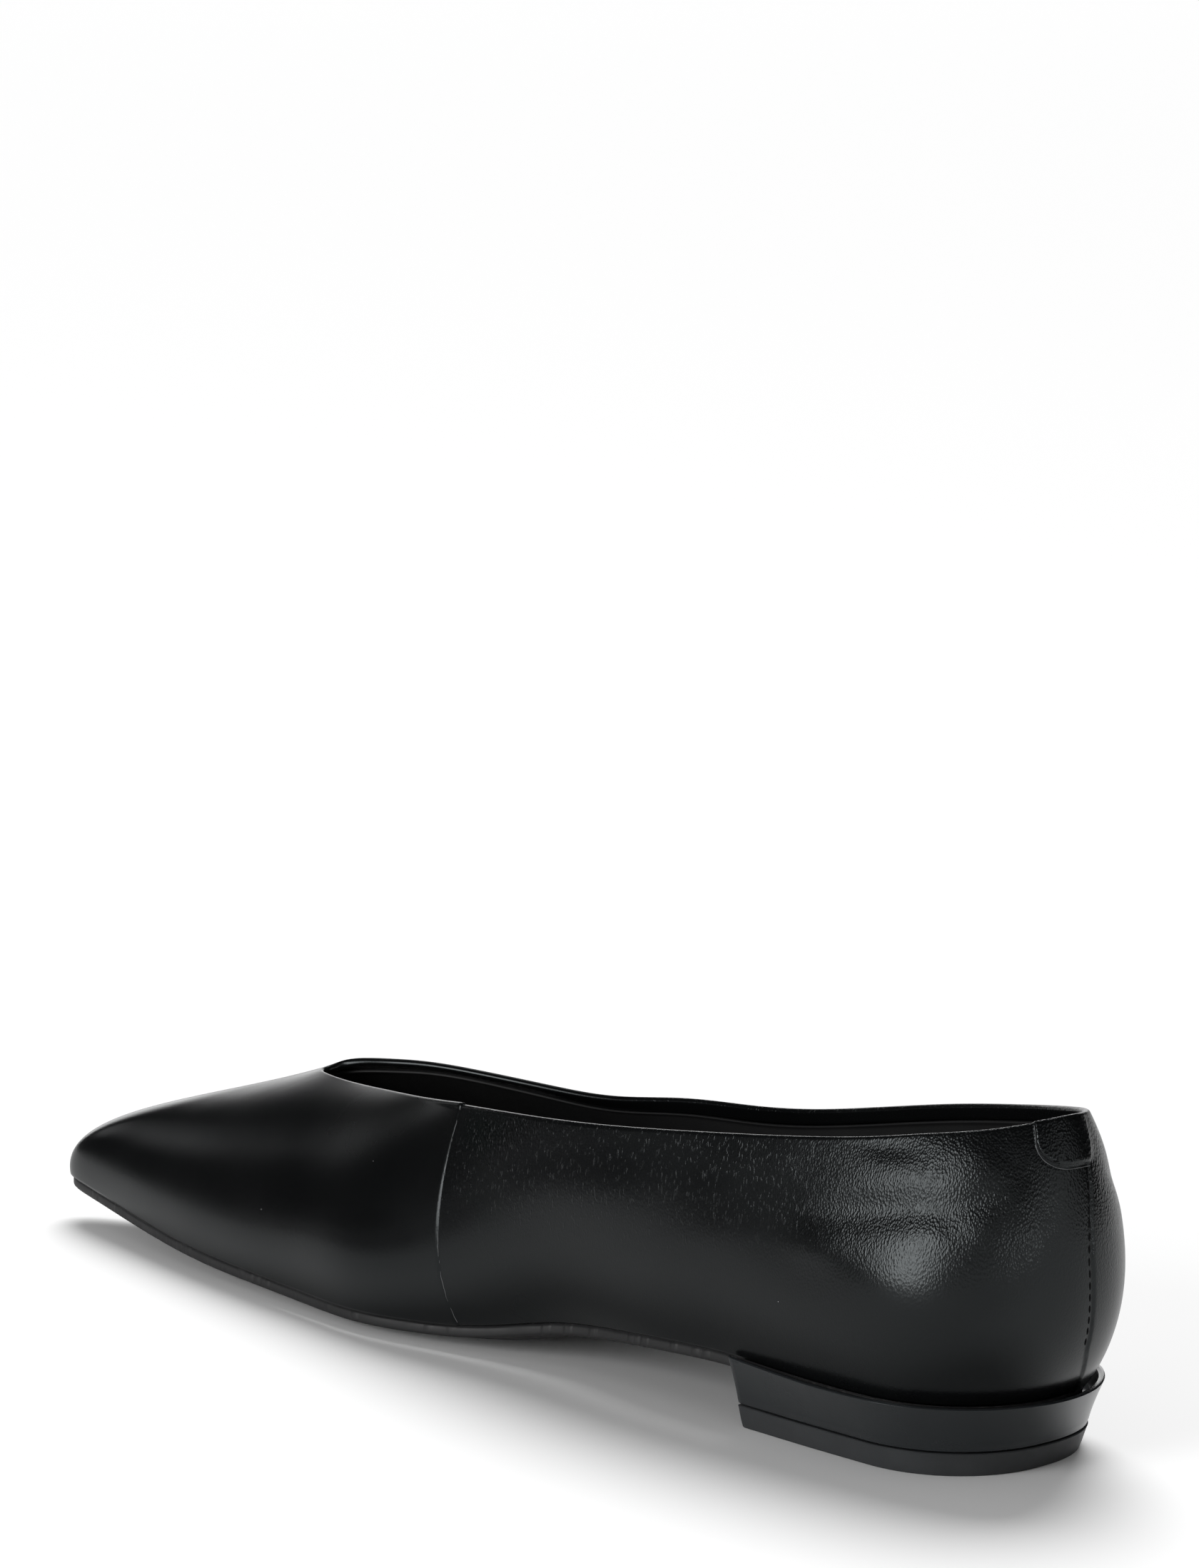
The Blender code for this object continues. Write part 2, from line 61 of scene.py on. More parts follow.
# The last. Rows run from the back seam to the tip, one table for each side. Columns:
# foot_x, foot_y: feather line, shares of the sole length and of the side's ball half width
# edge_z: underside of the sole's edge, share of the seat height
# top_x, top_y, top_z: topline, shares of collar length, collar half width, back height
# low_out, low_rise: first control point, shares of wall bulge and wall rise
# reach, top_out, top_drop: second control point, a share of the way back to the feather
# line in plan, then shares of wall bulge and wall rise
BACK_ROW = (0.000, 0.000, 1.00, 0.000, 0.000, 0.998, 1.15, 1.00, 0.00, 1.00, 1.20)
INNER_ROWS = (
    (0.014, 0.430, 1.00, 0.012, 0.260, 0.988, 1.02, 1.00, 0.00, 0.98, 1.15),
    (0.053, 0.740, 1.00, 0.045, 0.520, 0.966, 0.78, 1.00, 0.00, 0.90, 1.05),
    (0.108, 0.832, 1.00, 0.098, 0.710, 0.938, 0.63, 1.00, 0.00, 0.80, 1.00),
    (0.175, 0.819, 1.00, 0.165, 0.835, 0.900, 0.56, 1.00, 0.00, 0.60, 0.95),
    (0.240, 0.787, 1.00, 0.250, 0.920, 0.860, 0.53, 0.95, 0.00, 0.45, 0.95),
    (0.310, 0.768, 0.91, 0.345, 0.975, 0.820, 0.56, 0.90, 0.00, 0.30, 0.95),
    (0.375, 0.714, 0.76, 0.440, 1.000, 0.782, 0.70, 0.88, 0.00, 0.25, 0.95),
    (0.430, 0.714, 0.57, 0.530, 0.980, 0.750, 0.72, 0.88, 0.00, 0.30, 0.95),
    (0.490, 0.816, 0.29, 0.620, 0.910, 0.722, 0.62, 0.95, 0.05, 0.38, 0.85),
    (0.550, 0.933, 0.17, 0.705, 0.790, 0.694, 0.56, 1.05, 0.20, 0.35, 0.65),
    (0.605, 0.984, 0.13, 0.780, 0.640, 0.666, 0.55, 1.08, 0.36, 0.25, 0.48),
    (0.665, 0.933, 0.13, 0.850, 0.480, 0.640, 0.50, 1.08, 0.43, 0.16, 0.38),
    (0.730, 0.876, 0.16, 0.905, 0.355, 0.621, 0.44, 1.05, 0.44, 0.10, 0.34),
    (0.800, 0.800, 0.20, 0.945, 0.270, 0.611, 0.38, 1.02, 0.44, 0.10, 0.42),
    (0.870, 0.688, 0.30, 0.973, 0.200, 0.606, 0.32, 1.00, 0.45, 0.10, 0.54),
    (0.930, 0.575, 0.42, 0.989, 0.145, 0.603, 0.28, 0.96, 0.45, 0.12, 0.66),
    (0.966, 0.510, 0.50, 0.996, 0.100, 0.602, 0.26, 0.94, 0.45, 0.10, 0.73),
    (0.991, 0.445, 0.55, 0.999, 0.060, 0.602, 0.25, 0.92, 0.45, 0.06, 0.77),
)
TIP_ROW = (1.000, 0.333, 0.57, 1.000, 0.020, 0.603, 0.24, 0.91, 0.45, 0.00, 0.78)
OUTER_ROWS = (
    (0.014, 0.380, 1.00, 0.012, 0.260, 0.986, 1.02, 1.00, 0.00, 0.98, 1.15),
    (0.053, 0.656, 1.00, 0.045, 0.520, 0.966, 0.78, 1.00, 0.00, 0.90, 1.05),
    (0.108, 0.738, 1.00, 0.098, 0.710, 0.934, 0.63, 1.00, 0.00, 0.80, 1.00),
    (0.175, 0.727, 1.00, 0.165, 0.835, 0.893, 0.56, 1.00, 0.00, 0.60, 0.95),
    (0.240, 0.704, 1.00, 0.250, 0.920, 0.842, 0.52, 0.95, 0.00, 0.45, 0.90),
    (0.310, 0.700, 0.90, 0.345, 0.975, 0.778, 0.47, 0.92, 0.00, 0.32, 0.85),
    (0.375, 0.718, 0.74, 0.440, 1.000, 0.716, 0.45, 0.90, 0.00, 0.28, 0.80),
    (0.430, 0.760, 0.53, 0.530, 1.000, 0.676, 0.45, 0.92, 0.02, 0.32, 0.78),
    (0.490, 0.845, 0.27, 0.620, 0.950, 0.653, 0.50, 0.97, 0.08, 0.38, 0.70),
    (0.550, 0.938, 0.15, 0.705, 0.850, 0.621, 0.52, 1.02, 0.20, 0.36, 0.55),
    (0.605, 0.995, 0.13, 0.780, 0.725, 0.621, 0.52, 1.06, 0.33, 0.28, 0.44),
    (0.660, 0.986, 0.13, 0.850, 0.580, 0.632, 0.50, 1.08, 0.41, 0.20, 0.38),
    (0.720, 0.900, 0.15, 0.905, 0.430, 0.640, 0.45, 1.05, 0.44, 0.13, 0.38),
    (0.785, 0.727, 0.22, 0.945, 0.310, 0.636, 0.37, 1.02, 0.44, 0.12, 0.47),
    (0.850, 0.473, 0.33, 0.973, 0.190, 0.631, 0.31, 1.00, 0.45, 0.12, 0.56),
    (0.910, 0.197, 0.45, 0.989, 0.110, 0.622, 0.28, 0.96, 0.45, 0.12, 0.66),
    (0.954, -0.030, 0.52, 0.996, 0.058, 0.612, 0.26, 0.94, 0.45, 0.10, 0.73),
    (0.987, -0.175, 0.55, 0.999, 0.016, 0.606, 0.25, 0.92, 0.45, 0.06, 0.77),
)


def closed_spline(knots: np.ndarray, values: np.ndarray, at: np.ndarray) -> np.ndarray:
    """Values of the smooth closed curve through the rows.

    Args:
        knots: rising positions of the rows, from 0 and under 1.
        values: one row of numbers for each knot.
        at: positions to read; they wrap round at 1.

    Returns:
        One row of numbers for each position.
    """
    span = np.diff(np.append(knots, knots[0] + 1.0))
    rise = (np.roll(values, -1, axis=0) - values) / span[:, None]
    count = len(knots)
    system = np.zeros((count, count))
    for row in range(count):
        system[row, row - 1] = span[row]
        system[row, row] = 2.0 * (span[row - 1] + span[row])
        system[row, (row + 1) % count] = span[row - 1]
    target = 3.0 * (span[:, None] * np.roll(rise, 1, axis=0)
                    + np.roll(span, 1)[:, None] * rise)
    slopes = np.linalg.solve(system, target)
    at = np.mod(at, 1.0)
    row = np.searchsorted(knots, at, side="right") - 1
    step = span[row][:, None]
    share = (at - knots[row])[:, None] / step
    after = (row + 1) % count
    return (values[row] * (1 + 2 * share) * (1 - share) ** 2
            + values[after] * share ** 2 * (3 - 2 * share)
            + slopes[row] * step * share * (1 - share) ** 2
            - slopes[after] * step * share ** 2 * (1 - share))


def ease(value: np.ndarray) -> np.ndarray:
    """A soft step from 0 to 1 as value goes from 0 to 1."""
    held = np.clip(value, 0.0, 1.0)
    return held * held * (3.0 - 2.0 * held)


@dataclass
class Last:
    """The form that the upper, the lining and the soles are drawn over."""

    sole_length: float = 269.0 * MM
    seat_back: float = 26.5 * MM
    inner_ball: float = 31.5 * MM
    outer_ball: float = 35.5 * MM
    collar_length: float = 205.4 * MM
    collar_back: float = 28.4 * MM
    collar_half_width: float = 28.0 * MM
    back_height: float = 70.0 * MM
    seat_height: float = 12.0 * MM
    wall_rise: float = 15.0 * MM
    wall_bulge: float = 10.0 * MM
    wall: float = 1.6 * MM
    outsole_thickness: float = 2.4 * MM
    insole_thickness: float = 1.8 * MM
    gap: float = 0.3 * MM
    top_weight: float = 0.6
    turn_weight: float = 20.0 * MM
    ring: np.ndarray = field(init=False)
    knots: np.ndarray = field(init=False)

    def __post_init__(self) -> None:
        """Turns the tables of shares into one closed ring of rows in metres."""
        rows = [self._sized(BACK_ROW, Side.INNER)]
        rows += [self._sized(row, Side.INNER) for row in INNER_ROWS]
        rows.append(self._sized(TIP_ROW, Side.INNER))
        rows += [self._sized(row, Side.OUTER) for row in reversed(OUTER_ROWS)]
        self.ring = np.array(rows)
        inner = np.linspace(0.0, 0.5, len(INNER_ROWS) + 2)
        outer = np.linspace(0.5, 1.0, len(OUTER_ROWS) + 2)[1:-1]
        self.knots = np.concatenate([inner, outer])

    def _sized(self, row: Sequence[float], side: Side) -> tuple[float, ...]:
        """One table row in metres.

        Args:
            row: the shares.
            side: which side of the shoe it belongs to.

        Returns:
            The row's sizes in the order of the table's columns.
        """
        foot_x, foot_y, edge_z, top_x, top_y, top_z, low_out, low_rise, reach, top_out, drop = row
        ball = self.inner_ball if side is Side.INNER else self.outer_ball
        sign = side.value
        return (foot_x * self.sole_length - self.seat_back, sign * foot_y * ball,
                edge_z * self.seat_height, top_x * self.collar_length - self.collar_back,
                sign * top_y * self.collar_half_width, top_z * self.back_height,
                low_out * self.wall_bulge, low_rise * self.wall_rise, reach,
                top_out * self.wall_bulge, drop * self.wall_rise)

    def around(self, at: np.ndarray) -> np.ndarray:
        """Rows of the ring at positions 0 to 1, from the back seam over the inner side."""
        return closed_spline(self.knots, self.ring, np.atleast_1d(at))

    def outward(self, at: np.ndarray) -> np.ndarray:
        """Unit vectors in plan that point out of the feather line."""
        step = 0.0005
        run = self.around(at + step)[:, :2] - self.around(at - step)[:, :2]
        run /= np.linalg.norm(run, axis=1)[:, None]
        return np.column_stack([-run[:, 1], run[:, 0]])

    def surface(self, at: np.ndarray, rise: float | np.ndarray) -> np.ndarray:
        """Outer face of the upper.

        Args:
            at: positions round the shoe.
            rise: 0 at the feather line, 1 at the topline.

        Returns:
            One point for each position.
        """
        at = np.atleast_1d(at)
        share = np.broadcast_to(rise, at.shape)[:, None]
        rows = self.around(at)
        flat = np.zeros(len(at))
        foot = rows[:, :3] + np.array([0.0, 0.0, self.outsole_thickness + self.gap])
        top = rows[:, 3:6]
        out = np.column_stack([self.outward(at), flat])
        up = np.array([0.0, 0.0, 1.0])
        low = foot + out * rows[:, 6:7] + up * rows[:, 7:8]
        back = np.column_stack([foot[:, :2] - top[:, :2], flat])
        high = top + back * rows[:, 8:9] + out * rows[:, 9:10] - up * rows[:, 10:11]
        left = 1.0 - share
        return (foot * left ** 3 + low * 3 * left ** 2 * share
                + high * 3 * left * share ** 2 + top * share ** 3)

    def normal(self, at: np.ndarray, rise: float | np.ndarray) -> np.ndarray:
        """Unit vectors that point out of the upper's outer face."""
        at = np.atleast_1d(at)
        share = np.broadcast_to(rise, at.shape)
        step = 0.002
        along = self.surface(at + step, share) - self.surface(at - step, share)
        upward = (self.surface(at, np.minimum(share + step, 1.0))
                  - self.surface(at, np.maximum(share - step, 0.0)))
        face = np.cross(upward, along)
        return face / np.linalg.norm(face, axis=1)[:, None]

    def offset(self, at: np.ndarray, rise: float | np.ndarray,
               distance: float | np.ndarray) -> np.ndarray:
        """Points of the outer face moved outward by distance, inward where it is negative."""
        far = np.broadcast_to(distance, np.atleast_1d(at).shape)[:, None]
        return self.surface(at, rise) + self.normal(at, rise) * far

    def stations(self, side_steps: int) -> np.ndarray:
        """Positions once round the shoe, closer together where the outline turns.

        Args:
            side_steps: steps on each side, from the back seam to the tip.

        Returns:
            Rising positions from 0 to under 1.
        """
        fine = np.linspace(0.0, 1.0, 1601)
        line = self.around(fine)
        foot = np.linalg.norm(np.diff(line[:, :3], axis=0), axis=1)
        top = np.linalg.norm(np.diff(line[:, 3:6], axis=0), axis=1)
        turning = np.linalg.norm(np.diff(self.outward(fine), axis=0), axis=1)
        steps = foot + self.top_weight * top + self.turn_weight * turning
        run = np.concatenate([[0.0], np.cumsum(steps)])
        middle = len(fine) // 2
        inner = np.interp(np.linspace(0, run[middle], side_steps + 1), run, fine)
        outer = np.interp(np.linspace(run[middle], run[-1], side_steps + 1), run, fine)
        return np.concatenate([inner, outer[1:-1]])


def mesh_piece(name: str, points: np.ndarray, faces: list[tuple[int, ...]],
               material: bpy.types.Material) -> bpy.types.Object:
    """A named mesh object at the origin, faces outward, shaded smooth.

    Args:
        name: the piece's name.
        points: corners in metres.
        faces: corner numbers of each face.
        material: its finish.

    Returns:
        The linked object.
    """
    mesh = bpy.data.meshes.new(name)
    mesh.from_pydata([tuple(point) for point in points], [], faces)
    body = bmesh.new()
    body.from_mesh(mesh)
    bmesh.ops.recalc_face_normals(body, faces=body.faces)
    body.to_mesh(mesh)
    body.free()
    mesh.shade_smooth()
    mesh.materials.append(material)
    piece = bpy.data.objects.new(name, mesh)
    bpy.context.scene.collection.objects.link(piece)
    return piece


def loop_faces(loops: int, count: int, closed_section: bool,
               closed_loop: bool = True) -> list[tuple[int, ...]]:
    """Quads between neighbouring loops.

    Args:
        loops: how many loops.
        count: points in each loop.
        closed_section: whether the last loop joins the first.
        closed_loop: whether each loop is closed on itself.

    Returns:
        The quads' corner numbers.
    """
    faces = []
    for loop in range(loops if closed_section else loops - 1):
        base = loop * count
        above = (loop + 1) % loops * count
        for index in range(count if closed_loop else count - 1):
            beside = (index + 1) % count
            faces.append((base + index, base + beside, above + beside, above + index))
    return faces


def dress(piece: bpy.types.Object, slot: str, *nodes: str) -> bpy.types.Object:
    """Rides a finished piece on the shoe and hides the solids that it stands for."""
    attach(piece, "root")
    if nodes:
        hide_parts(*nodes)
    LOG.info("%s: %d faces", piece.name, len(piece.data.polygons))
    return piece


class Nodes:
    """A short way to build a material's node tree."""

    def __init__(self, name: str) -> None:
        """Starts a material with one Principled shader."""
        self.material = bpy.data.materials.new(name)
        self.material.use_nodes = True
        self.tree = self.material.node_tree
        self.shader = self.tree.nodes["Principled BSDF"]

    def add(self, kind: str, **settings: object) -> bpy.types.Node:
        """A node of that kind with its properties set."""
        node = self.tree.nodes.new(kind)
        for key, value in settings.items():
            setattr(node, key, value)
        return node

    def link(self, source: bpy.types.NodeSocket, target: bpy.types.NodeSocket) -> None:
        """Joins two sockets."""
        self.tree.links.new(source, target)

    def place(self, scale: Sequence[float] = (1.0, 1.0, 1.0)) -> bpy.types.NodeSocket:
        """Object coordinates in metres, stretched by scale."""
        where = self.add("ShaderNodeTexCoord")
        mapping = self.add("ShaderNodeMapping")
        mapping.inputs["Scale"].default_value = tuple(scale)
        self.link(where.outputs["Object"], mapping.inputs["Vector"])
        return mapping.outputs["Vector"]

    def noise(self, scale: float, detail: float = 3.0,
              stretch: Sequence[float] = (1.0, 1.0, 1.0)) -> bpy.types.NodeSocket:
        """A noise value at scale per metre."""
        node = self.add("ShaderNodeTexNoise")
        node.inputs["Scale"].default_value = scale
        node.inputs["Detail"].default_value = detail
        self.link(self.place(stretch), node.inputs["Vector"])
        return node.outputs["Fac"]

    def cells(self, scale: float, stretch: Sequence[float] = (1.0, 1.0, 1.0)
              ) -> bpy.types.NodeSocket:
        """Distance to the middle of the nearest of Voronoi cells, scale of them per metre."""
        node = self.add("ShaderNodeTexVoronoi")
        node.inputs["Scale"].default_value = scale
        self.link(self.place(stretch), node.inputs["Vector"])
        return node.outputs["Distance"]

    def feed(self, target: bpy.types.NodeSocket, value: object) -> None:
        """Joins another socket to the target, or sets the target to a number or a colour."""
        if isinstance(value, bpy.types.NodeSocket):
            self.link(value, target)
        elif isinstance(value, (int, float)):
            target.default_value = value
        else:
            target.default_value = (*value, 1.0)

    def math(self, operation: str, first: object, second: object) -> bpy.types.NodeSocket:
        """One arithmetic step on two sockets or numbers."""
        node = self.add("ShaderNodeMath", operation=operation)
        self.feed(node.inputs[0], first)
        self.feed(node.inputs[1], second)
        return node.outputs["Value"]

    def spread(self, value: bpy.types.NodeSocket, low: float, high: float,
               start: float = 0.0, end: float = 1.0) -> bpy.types.NodeSocket:
        """A value mapped from start..end to low..high, held at both ends."""
        node = self.add("ShaderNodeMapRange")
        node.inputs["From Min"].default_value = start
        node.inputs["From Max"].default_value = end
        node.inputs["To Min"].default_value = low
        node.inputs["To Max"].default_value = high
        self.link(value, node.inputs["Value"])
        return node.outputs["Result"]

    def mask(self, name: str) -> bpy.types.NodeSocket:
        """A mask that the mesh carries as a point attribute."""
        return self.add("ShaderNodeAttribute", attribute_name=name).outputs["Fac"]

    def bump(self, height: bpy.types.NodeSocket, strength: float, depth: float,
             below: bpy.types.NodeSocket | None = None) -> bpy.types.NodeSocket:
        """A bump layer of depth metres on top of another layer."""
        node = self.add("ShaderNodeBump")
        node.inputs["Strength"].default_value = strength
        node.inputs["Distance"].default_value = depth
        self.link(height, node.inputs["Height"])
        if below is not None:
            self.link(below, node.inputs["Normal"])
        return node.outputs["Normal"]

    def tint(self, value: bpy.types.NodeSocket, first: object, second: object
             ) -> bpy.types.NodeSocket:
        """A colour that goes from the first to the second as value goes from 0 to 1."""
        node = self.add("ShaderNodeMix", data_type="RGBA")
        colours = [socket for socket in node.inputs if socket.type == "RGBA"]
        self.link(value, node.inputs[0])
        self.feed(colours[0], first)
        self.feed(colours[1], second)
        return next(socket for socket in node.outputs if socket.type == "RGBA")

    def colour(self, value: bpy.types.NodeSocket, dark: Colour, lighten: float) -> None:
        """Sets the surface colour: from dark to lighten times as light by value."""
        light = tuple(channel * lighten for channel in dark)
        self.link(self.tint(value, dark, light), self.shader.inputs["Base Color"])

    def roughness(self, value: bpy.types.NodeSocket, low: float, high: float,
                  start: float = 0.0, end: float = 1.0) -> None:
        """Sets the roughness: from low to high as value goes from start to end."""
        self.link(self.spread(value, low, high, start, end), self.shader.inputs["Roughness"])

    def with_relief(self, layer: bpy.types.NodeSocket) -> bpy.types.Material:
        """Puts the top bump layer on the shader and hands over the material."""
        self.link(layer, self.shader.inputs["Normal"])
        return self.material


@dataclass(frozen=True)
class SmoothLeather:
    """Finished black calf: fine pebble, stretched hair creases, faint dust."""

    name: str = "smooth_black_leather"
    dark: Colour = (0.0022, 0.0024, 0.0026)
    light: Colour = (0.0034, 0.0037, 0.0039)
    dust: Colour = (0.30, 0.30, 0.30)
    dust_per_m: float = 150.0
    dust_radius: float = 0.016
    ior: float = 1.38
    cool: Colour = (0.91, 0.98, 1.00)
    waves_per_m: float = 38.0
    pores_per_m: float = 2600.0
    pebble_per_m: float = 2500.0
    crease_per_m: float = 2100.0
    roughness: tuple[float, float] = (0.21, 0.28)
    full_shine: float = 0.5
    indirect_shine: float = 0.04

    def build(self) -> bpy.types.Material:
        """The leather's material; the masks grain and crease come from the mesh."""
        nodes = Nodes(self.name)
        skin = nodes.tint(nodes.noise(60.0, 4.0), self.dark, self.light)
        dusty = nodes.tint(self._specks(nodes), skin, self.dust)
        nodes.link(dusty, nodes.shader.inputs["Base Color"])
        nodes.roughness(nodes.noise(35.0, 3.0), *self.roughness, 0.35, 0.65)
        nodes.shader.inputs["IOR"].default_value = self.ior
        nodes.shader.inputs["Specular Tint"].default_value = (*self.cool, 1.0)
        path = nodes.add("ShaderNodeLightPath")
        shine = nodes.spread(path.outputs["Is Diffuse Ray"], self.full_shine, self.indirect_shine)
        nodes.link(shine, nodes.shader.inputs["Specular IOR Level"])
        return nodes.with_relief(self._grain(nodes))

    def _specks(self, nodes: Nodes) -> bpy.types.NodeSocket:
        """1 in a few small specks of dust, 0 elsewhere."""
        near = nodes.math("LESS_THAN", nodes.cells(self.dust_per_m), self.dust_radius)
        chosen = nodes.math("GREATER_THAN", nodes.noise(90.0, 0.0), 0.60)
        return nodes.math("MULTIPLY", near, chosen)

    def _grain(self, nodes: Nodes) -> bpy.types.NodeSocket:
        """Soft waves, pores, pebble and upright creases, each on top of the last."""
        pebble = nodes.math("MULTIPLY", nodes.cells(self.pebble_per_m, (1.0, 1.0, 0.6)),
                            nodes.mask("grain"))
        lines = nodes.spread(nodes.noise(self.crease_per_m, 2.0, (1.0, 1.0, 0.28)),
                             0.0, 1.0, 0.60, 0.72)
        crease = nodes.math("MULTIPLY", lines, nodes.mask("crease"))
        waves = nodes.noise(self.waves_per_m, 1.5, (1.0, 1.0, 0.8))
        layer = nodes.bump(waves, 0.24, 0.60 * MM)
        layer = nodes.bump(nodes.noise(self.pores_per_m, 2.0), 0.10, 0.04 * MM, layer)
        layer = nodes.bump(pebble, 0.70, 0.12 * MM, layer)
        return nodes.bump(crease, 0.42, 0.08 * MM, layer)


@dataclass(frozen=True)
class GlossWrap:
    """The heel's tight, polished covering."""

    name: str = "heel_wrap_leather"
    dark: Colour = (0.0108, 0.0120, 0.0130)
    ior: float = 1.38
    roughness: tuple[float, float] = (0.22, 0.30)
    cool: Colour = (0.86, 0.95, 1.00)
    polish: float = 0.30
    polish_roughness: float = 0.12

    def build(self) -> bpy.types.Material:
        """The wrap's material."""
        nodes = Nodes(self.name)
        nodes.colour(nodes.noise(80.0), self.dark, 1.5)
        nodes.roughness(nodes.noise(50.0, 3.0), *self.roughness, 0.35, 0.65)
        nodes.shader.inputs["IOR"].default_value = self.ior
        nodes.shader.inputs["Specular Tint"].default_value = (*self.cool, 1.0)
        nodes.shader.inputs["Coat Weight"].default_value = self.polish
        nodes.shader.inputs["Coat Roughness"].default_value = self.polish_roughness
        layer = nodes.bump(nodes.noise(70.0, 2.0), 0.25, 0.40 * MM)
        return nodes.with_relief(nodes.bump(nodes.cells(1800.0), 0.18, 0.04 * MM, layer))


@dataclass(frozen=True)
class MattRubber:
    """Moulded rubber or resin sheet, with fine scuffs and a dotted tread where it is set."""

    name: str
    dark: Colour
    roughness: tuple[float, float] = (0.50, 0.66)
    tread_per_m: float = 0.0

    def build(self) -> bpy.types.Material:
        """The rubber's material."""
        nodes = Nodes(self.name)
        nodes.colour(nodes.noise(120.0, 5.0), self.dark, 1.7)
        nodes.roughness(nodes.noise(200.0, 4.0), *self.roughness, 0.3, 0.7)
        layer = nodes.bump(nodes.noise(1400.0, 4.0), 0.30, 0.06 * MM)
        if self.tread_per_m:
            dots = nodes.cells(self.tread_per_m, (1.0, 1.0, 0.0))
            layer = nodes.bump(nodes.spread(dots, 1.0, 0.0, 0.25, 0.45), 0.5, 0.30 * MM, layer)
        return nodes.with_relief(layer)


@dataclass(frozen=True)
class SoftLining:
    """Matte lining leather or footbed cover."""

    name: str
    dark: Colour
    roughness: float = 0.62

    def build(self) -> bpy.types.Material:
        """The lining's material."""
        nodes = Nodes(self.name)
        nodes.colour(nodes.noise(180.0, 5.0), self.dark, 1.6)
        nodes.roughness(nodes.noise(90.0, 3.0), self.roughness - 0.06, self.roughness + 0.10)
        return nodes.with_relief(nodes.bump(nodes.cells(2400.0), 0.30, 0.06 * MM))


@dataclass(frozen=True)
class WaxedThread:
    """Black sewing thread with its twist."""

    name: str = "black_thread"
    dark: Colour = (0.0025, 0.0025, 0.0027)
    roughness: float = 0.75
    shine: float = 0.08

    def build(self) -> bpy.types.Material:
        """The thread's material."""
        nodes = Nodes(self.name)
        twist = nodes.noise(3500.0, 1.0)
        nodes.colour(twist, self.dark, 2.2)
        nodes.shader.inputs["Roughness"].default_value = self.roughness
        nodes.shader.inputs["Specular IOR Level"].default_value = self.shine
        return nodes.with_relief(nodes.bump(twist, 0.4, 0.05 * MM))


@dataclass(frozen=True)
class PaleEdgeAndHighlight:
    """Pale colour of the edge tubes: a pale line along the side seam, and a painted highlight along
    the strap end's raised border.
    """

    name: str = "pale_edge_and_painted_highlight"
    # pale colour: a painted highlight along the strap end's border, a plain pale line along the side
    # seam
    dark: Colour = (0.060, 0.062, 0.064)
    roughness: float = 0.55

    def build(self) -> bpy.types.Material:
        """The edge tubes' material: pale line on the side seam, painted highlight on the strap end.
        """
        nodes = Nodes(self.name)
        nodes.colour(nodes.noise(420.0, 3.0), self.dark, 1.9)
        nodes.shader.inputs["Roughness"].default_value = self.roughness
        return nodes.with_relief(nodes.bump(nodes.noise(2000.0, 3.0), 0.4, 0.05 * MM))


@dataclass(frozen=True)
class Dent:
    """A soft trough or ridge of the upper, an oval on its face.

    at: place round the shoe
    rise: height share
    long, wide: half length and half width in metres
    turn: degrees from level
    depth: metres, negative for a trough
    """

    at: float
    rise: float
    long: float
    wide: float
    turn: float
    depth: float

    def stand(self, last: Last, place: np.ndarray) -> np.ndarray:
        """How far the dent lifts points of the plain last, in metres."""
        at = self.at if self.at < 0.5 else self.at - 1.0
        centre = last.surface(np.array([at]), self.rise)[0]
        level = last.surface(np.array([at + 0.004]), self.rise)[0] - centre
        level /= np.linalg.norm(level)
        face = last.normal(np.array([at]), self.rise)[0]
        upward = np.cross(level, face)
        upward *= math.copysign(1.0, upward[2])
        turn = math.radians(self.turn)
        offset = place - centre
        along = offset @ (level * math.cos(turn) + upward * math.sin(turn)) / self.long
        across = offset @ (upward * math.cos(turn) - level * math.sin(turn)) / self.wide
        deep = offset @ face / (2.0 * self.long)
        return self.depth * np.exp(-(along ** 2 + across ** 2 + deep ** 2))


# The counter's and the quarters' dents, in the order of Dent's values
HEEL_DENTS = (
    Dent(0.076, 0.720, 17.0 * MM, 4.0 * MM, -5.0, -0.90 * MM),
    Dent(0.046, 0.770, 7.0 * MM, 3.2 * MM, -22.0, -0.40 * MM),
    Dent(0.072, 0.470, 14.0 * MM, 6.0 * MM, 12.0, 0.42 * MM),
    Dent(0.088, 0.955, 9.0 * MM, 2.4 * MM, 8.0, -0.32 * MM),
    Dent(0.101, 0.565, 8.0 * MM, 4.4 * MM, 0.0, 0.50 * MM),
    Dent(0.062, 0.930, 8.0 * MM, 3.0 * MM, 6.0, 0.20 * MM),
    Dent(0.052, 0.660, 5.0 * MM, 2.6 * MM, 40.0, -0.22 * MM),
    Dent(0.036, 0.880, 5.0 * MM, 2.8 * MM, 60.0, -0.30 * MM),
    Dent(0.026, 0.680, 9.0 * MM, 3.2 * MM, 82.0, 0.32 * MM),
    Dent(0.128, 0.760, 12.0 * MM, 4.5 * MM, -14.0, -0.22 * MM),
    Dent(0.155, 0.640, 16.0 * MM, 6.5 * MM, -20.0, -0.18 * MM),
    Dent(0.200, 0.480, 20.0 * MM, 8.0 * MM, 10.0, -0.22 * MM),
    Dent(0.960, 0.760, 12.0 * MM, 4.0 * MM, 8.0, -0.35 * MM),
    Dent(0.925, 0.640, 15.0 * MM, 5.0 * MM, -10.0, -0.28 * MM),
    Dent(0.880, 0.820, 14.0 * MM, 4.0 * MM, 6.0, -0.22 * MM),
)
# Back seam: height share, then position; it drifts to the outer side near the heel
BACK_SEAM = ((0.00, -0.0125), (0.06, -0.0110), (0.20, -0.0052), (0.30, -0.0038), (0.42, -0.0018),
             (0.55, 0.0), (0.68, -0.0005), (0.83, -0.0045), (1.00, -0.0060))


